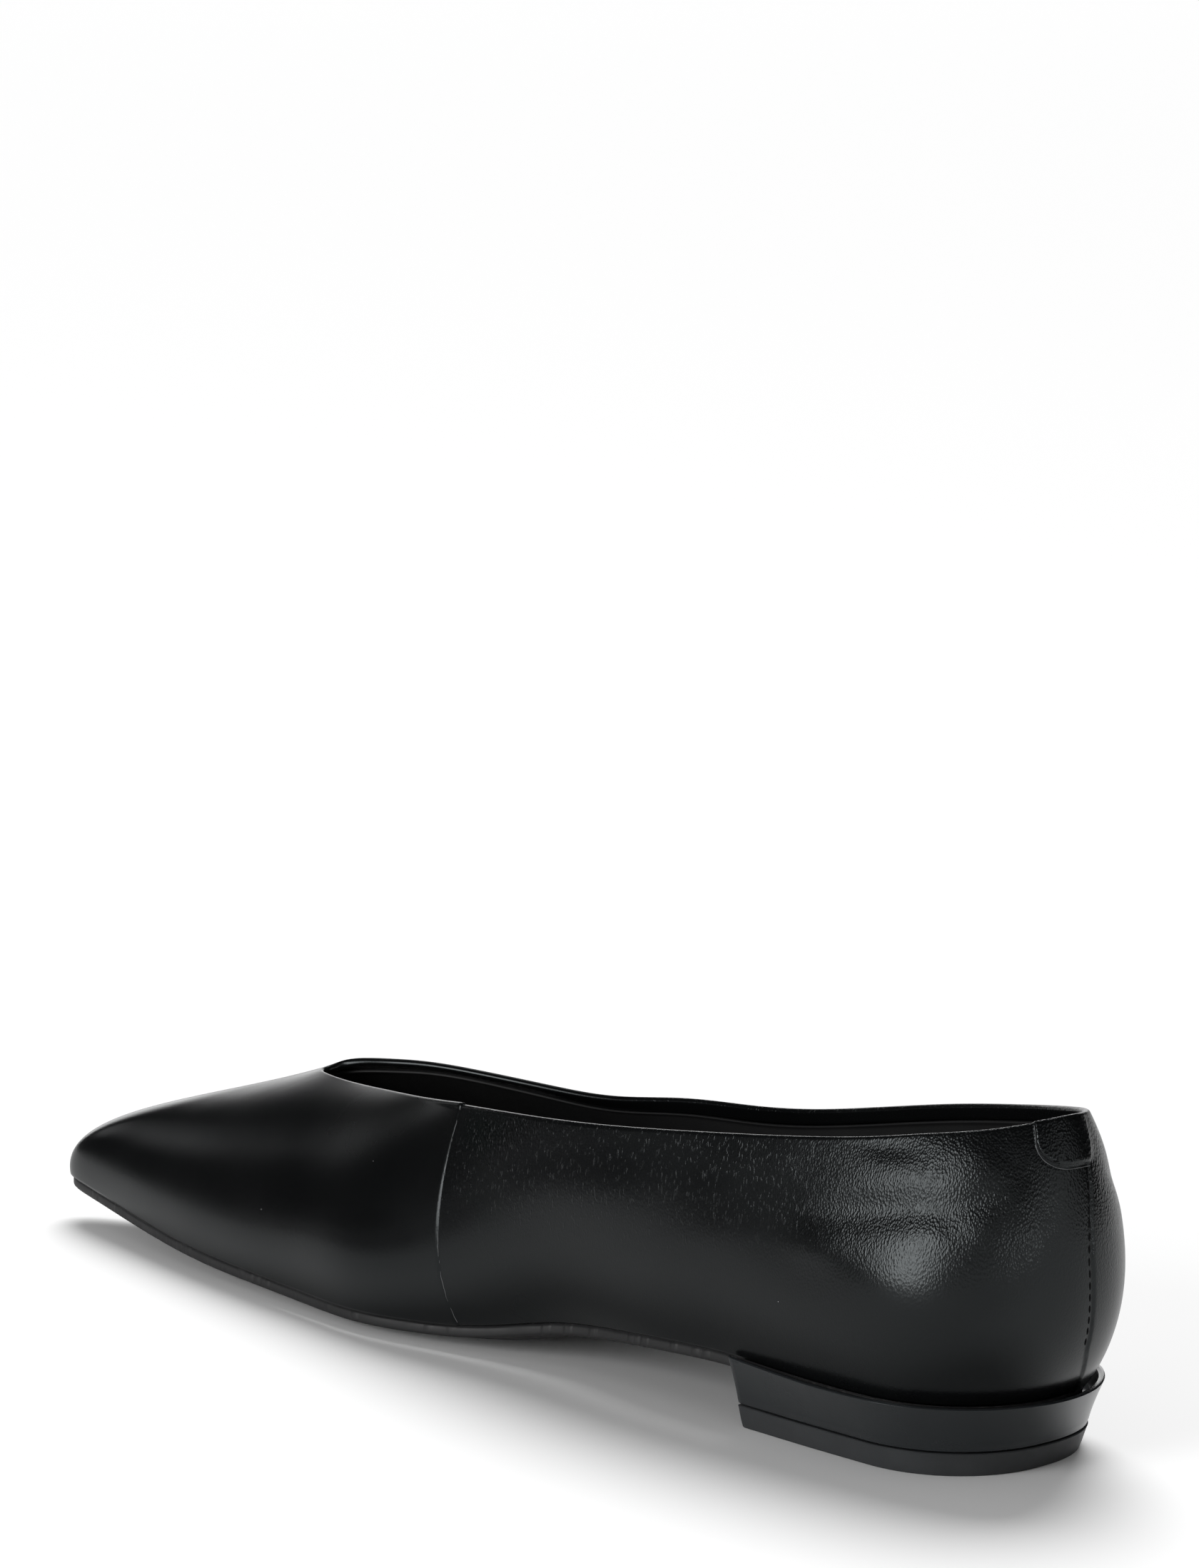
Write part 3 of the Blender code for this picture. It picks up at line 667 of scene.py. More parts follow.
@dataclass
class LeatherUpper:
    """The upper's leather: outer face, seams, folded topline, lasting edge."""

    last: Last
    side_steps: int = 250
    rise_steps: int = 96
    fold_steps: int = 8
    # Short steps at the side seam and on both sides of the back seam: start, end, count
    seam_steps: tuple[tuple[float, float, int], ...] = ((0.236, 0.266, 110), (0.0, 0.032, 80),
                                                        (0.968, 0.9999, 60))
    side_seam_low: float = 0.2425
    side_seam_high: float = 0.2590
    side_seam_bow: float = 0.0026
    side_step: float = 0.21 * MM
    side_groove: float = 0.12 * MM
    back_step: float = 0.45 * MM
    step_width: float = 0.00045
    puckers: float = 25.0
    pucker_least: float = 0.10 * MM
    pucker_swing: float = 0.28 * MM
    tab_reach: float = 0.0262
    tab_start: float = -0.004
    tab_bottom: float = 0.842
    tab_corner: float = 0.60
    tab_proud: float = 1.00 * MM
    tab_groove: float = 0.10 * MM
    crown: float = 0.75 * MM
    turned_in: float = 2.3 * MM
    hem: float = 0.35 * MM
    seam_lip: float = 0.35 * MM
    lasting_margin: float = 0.9 * MM

    def side_seam(self, rise: np.ndarray) -> np.ndarray:
        """Position of the inner quarter's seam at each height share."""
        lean = self.side_seam_low + (self.side_seam_high - self.side_seam_low) * rise
        return lean + 4.0 * self.side_seam_bow * rise * (1.0 - rise)

    def back_seam(self, rise: np.ndarray) -> np.ndarray:
        """Position of the back seam at each height share."""
        shares, places = zip(*BACK_SEAM)
        return np.interp(rise, shares, places)

    def tab_mask(self, at: np.ndarray, rise: np.ndarray) -> np.ndarray:
        """1 on the strap end over the back seam, 0 off it, with a crisp rounded border.

        Args:
            at: positions, negative on the outer side.
            rise: height shares.

        Returns:
            The mask's value at each point.
        """
        across = (at - self.tab_start) / (self.tab_reach - self.tab_start)
        down = (1.0 - rise) / (1.0 - self.tab_bottom)
        straight = 1.0 - self.tab_corner
        past_side = np.maximum(across - straight, 0.0) / self.tab_corner
        past_foot = np.maximum(down - straight, 0.0) / self.tab_corner
        corner = straight + self.tab_corner * np.sqrt(past_side ** 2 + past_foot ** 2)
        edge = np.maximum(np.maximum(across, down), corner)
        free_end = ease((1.0 - edge) / 0.055)
        beyond = ease((self.tab_start - at) / 0.014)
        sewn_end = ease((1.0 - down + 1.2 * beyond) / (0.055 + 2.4 * beyond))
        spent = 1.0 - ease((-at - 0.020) / 0.060)
        return np.where(at > self.tab_start, free_end, sewn_end * spent)

    def _side_overlap(self, at: np.ndarray, rise: np.ndarray) -> np.ndarray:
        """The vamp's step over the inner quarter, with a groove along it."""
        seam = self.side_seam(rise)
        toe_side = ease((at - seam) / self.step_width + 0.5) * (at > 0)
        fade = np.clip((0.40 - at) / 0.10, 0.0, 1.0)
        groove = np.exp(-((at - seam) / (1.4 * self.step_width)) ** 2)
        return self.side_step * toe_side * fade - self.side_groove * groove

    def _back_overlap(self, at: np.ndarray, rise: np.ndarray) -> np.ndarray:
        """The outer quarter's step over the inner one, drawn in by the back stitches."""
        back = self.back_seam(rise)
        outer_side = ease((back - at) / self.step_width + 0.5)
        spent = 1.0 - ease((back - at - 0.012) / 0.035)
        puckers = 0.5 + 0.5 * np.sin(rise * 2.0 * math.pi * self.puckers)
        sewn = np.exp(-((at - back - 0.0009) / 0.0011) ** 2) * ease((rise - 0.22) / 0.06)
        drawn_in = (self.pucker_least + self.pucker_swing * puckers) * sewn
        return self.back_step * outer_side * spent - drawn_in

    def relief(self, at: np.ndarray, rise: np.ndarray, place: np.ndarray) -> np.ndarray:
        """How far each point stands off the plain last.

        Args:
            at: positions round the shoe, from -0.5 to 0.5.
            rise: height shares.
            place: the points themselves.

        Returns:
            Distances in metres.
        """
        seams = self._side_overlap(at, rise) + self._back_overlap(at, rise)
        tab = self.tab_mask(at, rise)
        stand = np.maximum(seams, self.tab_proud * tab)
        stand -= self.tab_groove * 4.0 * tab * (1.0 - tab)
        for dent in HEEL_DENTS:
            stand += dent.stand(self.last, place)
        return stand

    def on_leather(self, at: np.ndarray, rise: np.ndarray, lift: float) -> np.ndarray:
        """Points on the dressed leather, raised by lift."""
        wrapped = np.mod(at, 1.0)
        place = self.last.surface(wrapped, rise)
        stand = self.relief(at, rise, place) + lift
        return place + self.last.normal(wrapped, rise) * stand[:, None]

    def grid(self) -> tuple[np.ndarray, np.ndarray]:
        """Positions once round and height shares, closer at the seams and the topline."""
        runs = [np.linspace(start, end, count) for start, end, count in self.seam_steps]
        at = np.unique(np.round(np.concatenate([self.last.stations(self.side_steps), *runs]), 6))
        at = at[np.concatenate([[True], np.diff(at) > 0.00012])]
        low = np.linspace(0.0, 0.82, int(self.rise_steps * 0.72))
        high = np.linspace(0.82, 1.0, int(self.rise_steps * 0.34))[1:]
        return at, np.concatenate([low, high])

    def dressed_face(self) -> tuple[np.ndarray, np.ndarray, np.ndarray, np.ndarray]:
        """The outer face with its relief.

        Returns:
            Rows of points, positions from -0.5 to 0.5, height shares, rows of normals.
        """
        at, rises = self.grid()
        signed = np.where(at > 0.5, at - 1.0, at)
        rows = self.last.around(at)
        crown = self.crown / (rows[:, 5] - rows[:, 2] - self.last.outsole_thickness)
        points, normals = [], []
        for rise in rises:
            place = self.last.surface(at, rise)
            face = self.last.normal(at, rise)
            stand = self.relief(signed, rise * (1.0 - crown), place)
            points.append(place + face * stand[:, None])
            normals.append(face)
        return np.array(points), signed, rises, np.array(normals)

    def build(self, material: bpy.types.Material) -> bpy.types.Object:
        """The leather skin, turned over the topline and cut at the lasting edge."""
        skin, at, rises, face = self.dressed_face()
        loops = list(skin) + self._fold(skin, at, face[-1])
        seam = self.side_seam(1.0)
        lip = self.seam_lip * ease((at - seam) / 0.0006 + 0.5) * np.exp(-np.abs(at - seam) / 0.012)
        for row in range(len(rises) - 4, len(loops)):
            share = ease((row - len(rises) + 5) / 4.0)
            loops[row] = loops[row] + np.outer(lip * share, (0.0, 0.0, 1.0))
        loops.insert(0, self.last.offset(np.mod(at, 1.0), 0.0, -self.lasting_margin))
        faces = loop_faces(len(loops), len(at), False)
        piece = mesh_piece("upper_leather", np.concatenate(loops), faces, material)
        self._masks(piece, at, rises, len(loops))
        return piece

    def _fold(self, skin: np.ndarray, at: np.ndarray, out: np.ndarray) -> list[np.ndarray]:
        """Loops over the topline's crown, down its inner face and back to the wall.

        Args:
            skin: rows of points of the outer face.
            at: positions of the points in a row.
            out: normals at the topline.

        Returns:
            The loops in order.
        """
        top = skin[-1]
        up = skin[-1] - skin[-3]
        up /= np.linalg.norm(up, axis=1)[:, None]
        inside = top - out * self.last.wall
        middle = (top + inside) / 2.0
        loops = []
        for step in range(1, self.fold_steps + 1):
            turn = math.pi * step / self.fold_steps
            loops.append(middle + out * (self.last.wall / 2.0 * math.cos(turn))
                         + up * (self.crown * math.sin(turn)))
        down = self._inward(np.mod(at, 1.0))
        loops += [inside + down * self.turned_in * share for share in (0.35, 0.7, 1.0)]
        return loops + [loops[-1] + out * self.hem]

    def _inward(self, at: np.ndarray) -> np.ndarray:
        """Unit vectors down the inner face of the wall from the topline."""
        high = self.last.offset(at, 1.0, -self.last.wall)
        low = self.last.offset(at, 0.95, -self.last.wall)
        run = low - high
        return run / np.linalg.norm(run, axis=1)[:, None]

    def _masks(self, piece: bpy.types.Object, at: np.ndarray, rises: np.ndarray,
               loops: int) -> None:
        """Writes the grain and crease masks: the vamp is smooth, the quarters are creased."""
        distance = np.abs(at)
        quarter = ease((self.side_seam(0.6) + 0.004 - distance) / 0.008)
        heel = ease((0.15 - distance) / 0.09)
        grain_rows, crease_rows = [], []
        shares = np.concatenate([[0.0], rises, np.ones(loops - 1 - len(rises))])
        for rise in shares:
            high = ease((rise - 0.30) / 0.45)
            pebbled = np.maximum(heel, 0.14 * quarter) * (0.12 + 0.88 * high)
            grain_rows.append(0.06 + 0.94 * pebbled)
            crease_rows.append(0.02 + 0.98 * quarter * high * (1.0 - 0.55 * heel))
        for name, rows in (("grain", grain_rows), ("crease", crease_rows)):
            layer = piece.data.attributes.new(name, "FLOAT", "POINT")
            layer.data.foreach_set("value", np.concatenate(rows).astype(np.float32))


@dataclass
class CutEdges:
    """Thin pale tubes along the overlaps' cut edges: the side seam and the strap end; along the strap
    end the pale colour is a painted highlight of its raised border.
    """

    last: Last
    upper: LeatherUpper
    radius: float = 0.085 * MM
    sides: int = 6
    border_share: float = 0.985
    border_lift: float = 0.72

    def tube(self, name: str, path: np.ndarray, radius: np.ndarray,
             material: bpy.types.Material) -> bpy.types.Object:
        """A closed thin tube along a path.

        Args:
            name: the piece's name.
            path: its centre points.
            radius: its radius at each point.
            material: its finish.

        Returns:
            The tube.
        """
        run = np.gradient(path, axis=0)
        run /= np.linalg.norm(run, axis=1)[:, None]
        level = np.cross(run, np.array([0.0, 0.0, 1.0]) + 1e-6)
        level /= np.linalg.norm(level, axis=1)[:, None]
        other = np.cross(run, level)
        loops = []
        for index in range(len(path)):
            turns = np.linspace(0, 2 * math.pi, self.sides, endpoint=False)[:, None]
            ring = level[index] * np.cos(turns) + other[index] * np.sin(turns)
            loops.append(path[index] + ring * radius[index])
        faces = loop_faces(len(loops), self.sides, False)
        last = (len(loops) - 1) * self.sides
        faces.append(tuple(range(self.sides)))
        faces.append(tuple(last + step for step in range(self.sides)))
        return mesh_piece(name, np.concatenate(loops), faces, material)

    def build(self, material: bpy.types.Material) -> list[bpy.types.Object]:
        """The seam edges as tubes half sunk in the leather."""
        rises = np.linspace(0.015, 0.992, 240)
        wander = 0.00005 * np.sin(rises * 61.0) + 0.00004 * np.sin(rises * 143.0 + 1.0)
        side = self.upper.on_leather(self.upper.side_seam(rises) + wander, rises, 0.0)
        thick = self.radius * (0.75 + 0.30 * np.sin(rises * 37.0 + 0.6))
        pieces = [self.tube("side_seam_edge", side, thick, material)]
        # the strap end's border tube: its pale colour is a painted highlight of the raised edge
        corner = self._tab_border()
        size = self.radius * (0.8 + 0.25 * np.sin(np.linspace(0, 40, len(corner))))
        pieces.append(self.tube("strap_end_edge", corner, size, material))
        return pieces

    def _tab_border(self) -> np.ndarray:
        """The strap end's free border, down its side and along its foot."""
        radius = self.upper.tab_corner
        turns = np.linspace(0.0, math.pi / 2, 40)
        across = np.concatenate([np.ones(24), 1 - radius + radius * np.cos(turns),
                                 np.linspace(1 - radius, 0.0, 20)[1:]])
        down = np.concatenate([np.linspace(0.02, 1 - radius, 24),
                               1 - radius + radius * np.sin(turns), np.ones(19)])
        start = self.upper.tab_start
        at = start + across * self.border_share * (self.upper.tab_reach - start)
        rise = 1.0 - down * self.border_share * (1.0 - self.upper.tab_bottom)
        wrapped = np.mod(at, 1.0)
        place = self.last.surface(wrapped, rise)
        lift = self.border_lift * self.upper.tab_proud
        return place + self.last.normal(wrapped, rise) * lift


@dataclass
class Lining:
    """The lining, with the fine ridge where it meets the turned-in topline."""

    last: Last
    side_steps: int = 190
    rise_steps: int = 44
    ridge_drop: float = 2.9 * MM
    ridge: float = 0.40 * MM

    def ridge_line(self, at: np.ndarray) -> np.ndarray:
        """Height share of the lining's upper edge, just under the turned-in leather."""
        rows = self.last.around(np.mod(at, 1.0))
        return 1.0 - self.ridge_drop / (rows[:, 5] - rows[:, 2])

    def build(self, material: bpy.types.Material) -> bpy.types.Object:
        """The lining as a closed thin wall."""
        at = self.last.stations(self.side_steps)
        line = self.ridge_line(at)
        steps = 1.0 - (1.0 - np.linspace(0.0, 1.0, self.rise_steps)) ** 1.6
        inner, outer = [], []
        for step in steps:
            share = 0.02 + (line - 0.02) * step
            bead = self.ridge * np.exp(-((line - share - 0.006) / 0.009) ** 2)
            inner.append(self.last.offset(at, share, -self.last.wall - 0.05 * MM - bead))
            outer.append(self.last.offset(at, share, -self.last.wall + 0.35 * MM))
        loops = inner + outer[::-1]
        return mesh_piece("lining", np.concatenate(loops),
                          loop_faces(len(loops), len(at), True), material)


@dataclass
class SolePlates:
    """Outsole and insole, cut from the feather line."""

    last: Last
    side_steps: int = 150
    width_steps: int = 36
    flat_start: float = 118.0 * MM
    flat_end: float = 168.0 * MM
    breast: float = 34.0 * MM
    tread_share: float = 0.62
    spring_speed: float = 1.1
    arch_speed: float = 1.6

    def drop(self, x: float, edge: float, across: float) -> float:
        """How far the underside lies below its edge.

        Args:
            x: how far forward the point is.
            edge: the height of the sole's edge there.
            across: 0 in the middle, 1 or -1 at the sides.

        Returns:
            A distance in metres.
        """
        blend = ease(min(1.0, (1.0 - abs(across)) / (1.0 - self.tread_share)))
        if x > self.flat_end:
            tip = self.last.sole_length - self.last.seat_back
            spring = (x - self.flat_end) / (tip - self.flat_end)
            return max(edge * (1.0 - min(1.0, spring * self.spring_speed)), 0.0) * blend
        if x < self.flat_start:
            arch = min((self.flat_start - x) / (self.flat_start - self.breast), 1.0)
            return max(edge * (1.0 - min(1.0, arch * self.arch_speed)) ** 2, 0.0) * blend
        return max(edge, 0.0) * blend

    def plate(self, name: str, inset: float, low: float, high: float, rounding: float,
              material: bpy.types.Material, hollow: float = 0.0) -> bpy.types.Object:
        """A sole plate with rounded upper and lower borders.

        Args:
            name: the piece's name.
            inset: how far inside the feather line its side lies.
            low: its lower face above the outsole's underside.
            high: its upper face above the outsole's underside.
            rounding: radius of its borders.
            material: its finish.
            hollow: how far the middle of its upper face dips.

        Returns:
            The plate.
        """
        at = self.last.stations(self.side_steps)
        rows = self.last.around(at)[:, :3]
        out = np.column_stack([self.last.outward(at), np.zeros(len(at))])
        turns = np.linspace(0.0, math.pi / 2, 4)
        profile = [(inset + rounding * (1 - math.sin(t)), low + rounding * (1 - math.cos(t)))
                   for t in turns]
        profile += [(inset + rounding * (1 - math.sin(t)), high - rounding * (1 - math.cos(t)))
                    for t in reversed(turns)]
        points = self._face_points(rows - out * profile[0][0], profile[0][1], 0.0)
        size = len(points)
        points += self._face_points(rows - out * profile[-1][0], profile[-1][1], hollow)
        faces = self._face_quads(0) + self._face_quads(size)
        rim = self._rim()
        loops = [rim]
        for edge_inset, lift in profile[1:-1]:
            base = len(points)
            points += [(x, y, z + lift) for x, y, z in rows - out * edge_inset]
            loops.append([base + index for index in range(len(at))])
        loops.append([corner + size for corner in rim])
        for below, above in zip(loops, loops[1:]):
            for index in range(len(at)):
                beside = (index + 1) % len(at)
                faces.append((below[index], below[beside], above[beside], above[index]))
        return mesh_piece(name, np.array(points), faces, material)

    def _face_points(self, edge: np.ndarray, lift: float, hollow: float
                     ) -> list[tuple[float, float, float]]:
        """One face's points: a line across at each step forward, then heel end and tip."""
        points = []
        for step in range(1, self.side_steps):
            left, right = edge[step], edge[len(edge) - step]
            for share in np.linspace(1.0, -1.0, self.width_steps + 1):
                x, y, z = left * (1 + share) / 2 + right * (1 - share) / 2
                dip = hollow * (1 - share * share)
                points.append((x, y, z - self.drop(x, z, share) + lift - dip))
        for end in (edge[0], edge[self.side_steps]):
            points.append((end[0], end[1], end[2] + lift))
        return points

    def _face_quads(self, base: int) -> list[tuple[int, ...]]:
        """One face's quads between its lines, and triangles at heel end and tip."""
        width = self.width_steps + 1
        lines = self.side_steps - 1
        faces = []
        for line in range(lines - 1):
            for step in range(self.width_steps):
                corner = base + line * width + step
                faces.append((corner, corner + 1, corner + width + 1, corner + width))
        for step in range(self.width_steps):
            corner = base + (lines - 1) * width + step
            faces.append((base + lines * width, base + step + 1, base + step))
            faces.append((base + lines * width + 1, corner, corner + 1))
        return faces

    def _rim(self) -> list[int]:
        """Numbers of the border points of the lower face, once round from the heel end."""
        width = self.width_steps + 1
        lines = self.side_steps - 1
        rim = [lines * width] + [line * width for line in range(lines)] + [lines * width + 1]
        return rim + [line * width + self.width_steps for line in reversed(range(lines))]


@dataclass
class LowHeel:
    """The wrapped block with its rim, and the rubber top piece."""

    last: Last
    lift_height: float = 4.8 * MM
    lift_back: float = 22.8 * MM
    lift_half_width: float = 22.8 * MM
    lift_outer_width: float = 25.4 * MM
    lift_flare: float = 1.4 * MM
    inner_fullness: float = 0.96
    outer_fullness: float = 0.84
    breast: float = 34.0 * MM
    breast_taper: float = 0.5 * MM
    breast_reach: float = 0.55
    fade_length: float = 24.0 * MM
    rim_reach: float = 3.4 * MM
    rim_width: float = 1.3 * MM
    rim_rise: float = 0.4 * MM
    corner: float = 1.2 * MM
    corner_inset: float = 0.35 * MM
    steps: int = 200

    def _even(self, rows: np.ndarray) -> np.ndarray:
        """The open outline resampled with even steps."""
        lengths = np.linalg.norm(np.diff(rows, axis=0), axis=1)
        run = np.concatenate([[0.0], np.cumsum(lengths)])
        even = np.linspace(0.0, run[-1], self.steps + 1)
        return np.column_stack([np.interp(even, run, rows[:, axis]) for axis in range(2)])

    def _soften(self, rows: np.ndarray) -> np.ndarray:
        """Rounds the two breast corners in plan."""
        shifted = rows.copy()
        for end in (0, -1):
            shifted[end, 1] -= math.copysign(self.corner_inset, rows[end, 1])
        return shifted

    def lift_section(self, flare: float) -> np.ndarray:
        """The D of the top piece, grown by flare."""
        back = self.lift_back + flare
        inner, outer = self.lift_half_width + flare, self.lift_outer_width + flare
        rows = [(self.breast, inner - self.breast_taper), (self.breast / 2, inner)]
        for turn in np.linspace(0.0, math.pi, 121):
            half, fullness = inner, self.inner_fullness
            if turn > math.pi / 2:
                half, fullness = -outer, self.outer_fullness
            rows.append((-back * math.sin(turn) ** fullness,
                         half * abs(math.cos(turn)) ** fullness))
        rows += [(self.breast / 2, -outer), (self.breast, self.breast_taper - outer)]
        return self._soften(self._even(np.array(rows)))

    def seat_section(self, reach: float) -> np.ndarray:
        """The heel seat's outline moved out by reach, less of it near the breast."""
        fine = np.linspace(-0.25, 0.25, 1201)
        line = self.last.around(fine)[:, :2]
        fade = np.clip((self.breast - line[:, 0]) / self.fade_length, 0.0, 1.0)
        grown = reach * (self.breast_reach + (1.0 - self.breast_reach) * fade)
        rows = line + self.last.outward(fine) * grown[:, None]
        behind = np.nonzero(rows[:, 0] <= self.breast)[0]
        rows = rows[behind[0]:behind[-1] + 1][::-1].copy()
        rows[0, 0] = self.breast
        rows[-1, 0] = self.breast
        return self._soften(self._even(rows))

    def _solid(self, name: str, profiles: list[tuple[np.ndarray, float]],
               material: bpy.types.Material) -> bpy.types.Object:
        """A solid from D outlines at rising heights, with a flat breast.

        Args:
            name: the piece's name.
            profiles: outlines and their heights, from the underside round to the top.
            material: its finish.

        Returns:
            The solid.
        """
        count = self.steps + 1
        points = [(x, y, height) for section, height in profiles for x, y in section]
        faces = loop_faces(len(profiles), count, False, closed_loop=False)
        for base in (0, (len(profiles) - 1) * count):
            for step in range(self.steps // 2 - 1):
                far = self.steps - step
                faces.append((base + step, base + step + 1, base + far - 1, base + far))
            middle = self.steps // 2
            faces.append((base + middle - 1, base + middle, base + middle + 1))
        near = [level * count for level in range(len(profiles))]
        far = [level * count + self.steps for level in reversed(range(len(profiles)))]
        faces.append(tuple(near + far))
        piece = mesh_piece(name, np.array(points), faces, material)
        piece.data.set_sharp_from_angle(angle=math.radians(38))
        return piece

    def top_piece(self, material: bpy.types.Material) -> bpy.types.Object:
        """The rubber top piece with a softly broken edge."""
        small = 0.35 * MM
        high = self.lift_height
        profiles = [(self.lift_section(-small), 0.0), (self.lift_section(-small * 0.3), small * 0.3),
                    (self.lift_section(0.0), small)]
        for share in (0.3, 0.6, 0.9):
            profiles.append((self.lift_section(self.lift_flare * share), high * share))
        profiles.append((self.lift_section(self.lift_flare), high - small * 0.5))
        profiles.append((self.lift_section(self.lift_flare - small * 0.5), high))
        return self._solid("heel_top_piece", profiles, material)

    def block(self, material: bpy.types.Material) -> bpy.types.Object:
        """The wrapped block: it flares to a rounded rim round the heel seat."""
        last = self.last
        foot = self.lift_height + last.gap
        top = last.seat_height + last.outsole_thickness + last.gap + self.rim_rise
        base = self.lift_section(self.lift_flare)
        outer = self.seat_section(self.rim_reach)
        inner = self.seat_section(self.rim_reach - self.rim_width)
        seat = self.seat_section(2 * last.gap)
        lip = last.gap
        profiles = [(self.lift_section(self.lift_flare - 0.4 * MM), foot),
                    (self.lift_section(self.lift_flare - 0.1 * MM), foot + 0.15 * MM),
                    (base, foot + 0.5 * MM)]
        for share in np.linspace(0.1, 0.92, 12):
            flare = share ** 1.25
            profiles.append((base * (1 - flare) + outer * flare,
                             foot + (top - lip - foot) * share))
        middle = (outer + inner) / 2.0
        half = (outer - inner) / 2.0
        for turn in np.linspace(0.0, math.pi, 9):
            height = top - lip + lip * math.sin(turn)
            profiles.append((middle + half * math.cos(turn), height))
        profiles.append((seat, last.seat_height - last.gap))
        return self._solid("heel_block", profiles, material)


class StitchRow:
    """Stitches along a path, made by Geometry Nodes and turned into a plain mesh."""

    def __init__(self, name: str, spacing: float, length: float, thickness: float) -> None:
        """Keeps the row's name, the stitch spacing, length and thickness in metres."""
        self.name = name
        self.spacing = spacing
        self.length = length
        self.thickness = thickness

    def _tree(self, material: bpy.types.Material) -> bpy.types.NodeTree:
        """The tree: resample the path, set a stitch on each point along it."""
        tree = bpy.data.node_groups.new(f"{self.name}_tree", "GeometryNodeTree")
        face = tree.interface
        face.new_socket(name="Path", in_out="INPUT", socket_type="NodeSocketGeometry")
        for label, value in (("Spacing", self.spacing), ("Length", self.length),
                             ("Thickness", self.thickness)):
            socket = face.new_socket(name=label, in_out="INPUT", socket_type="NodeSocketFloat")
            socket.default_value = value
        face.new_socket(name="Stitches", in_out="OUTPUT", socket_type="NodeSocketGeometry")
        nodes, links = tree.nodes, tree.links
        source = nodes.new("NodeGroupInput")
        target = nodes.new("NodeGroupOutput")
        even = nodes.new("GeometryNodeResampleCurve")
        even.mode = "LENGTH"
        links.new(source.outputs["Path"], even.inputs["Curve"])
        links.new(source.outputs["Spacing"], even.inputs["Length"])
        ball = nodes.new("GeometryNodeMeshUVSphere")
        ball.inputs["Segments"].default_value = 8
        ball.inputs["Rings"].default_value = 6
        ball.inputs["Radius"].default_value = 0.5
        size = nodes.new("ShaderNodeCombineXYZ")
        links.new(source.outputs["Thickness"], size.inputs["X"])
        links.new(source.outputs["Thickness"], size.inputs["Y"])
        links.new(source.outputs["Length"], size.inputs["Z"])
        shape = nodes.new("GeometryNodeTransform")
        links.new(ball.outputs["Mesh"], shape.inputs["Geometry"])
        links.new(size.outputs["Vector"], shape.inputs["Scale"])
        run = nodes.new("GeometryNodeInputTangent")
        turn = nodes.new("FunctionNodeAlignEulerToVector")
        turn.axis = "Z"
        links.new(run.outputs["Tangent"], turn.inputs["Vector"])
        copies = nodes.new("GeometryNodeInstanceOnPoints")
        links.new(even.outputs["Curve"], copies.inputs["Points"])
        links.new(shape.outputs["Geometry"], copies.inputs["Instance"])
        links.new(turn.outputs["Rotation"], copies.inputs["Rotation"])
        real = nodes.new("GeometryNodeRealizeInstances")
        paint = nodes.new("GeometryNodeSetMaterial")
        paint.inputs["Material"].default_value = material
        links.new(copies.outputs["Instances"], real.inputs["Geometry"])
        links.new(real.outputs["Geometry"], paint.inputs["Geometry"])
        links.new(paint.outputs["Geometry"], target.inputs["Stitches"])
        return tree

    def build(self, path: np.ndarray, material: bpy.types.Material) -> bpy.types.Object:
        """The stitches along the path's points as one mesh."""
        curve = bpy.data.curves.new(f"{self.name}_path", "CURVE")
        curve.dimensions = "3D"
        spline = curve.splines.new("POLY")
        spline.points.add(len(path) - 1)
        for point, place in zip(spline.points, path):
            point.co = (*place, 1.0)
        guide = bpy.data.objects.new(f"{self.name}_guide", curve)
        bpy.context.scene.collection.objects.link(guide)
        modifier = guide.modifiers.new("stitches", "NODES")
        modifier.node_group = self._tree(material)
        for item in modifier.node_group.interface.items_tree:
            if item.in_out == "INPUT" and item.name in ("Spacing", "Length", "Thickness"):
                modifier[item.identifier] = getattr(self, item.name.lower())
        graph = bpy.context.evaluated_depsgraph_get()
        mesh = bpy.data.meshes.new_from_object(guide.evaluated_get(graph))
        mesh.name = self.name
        bpy.data.objects.remove(guide, do_unlink=True)
        if not mesh.materials:
            mesh.materials.append(material)
        mesh.shade_smooth()
        piece = bpy.data.objects.new(self.name, mesh)
        bpy.context.scene.collection.objects.link(piece)
        return piece


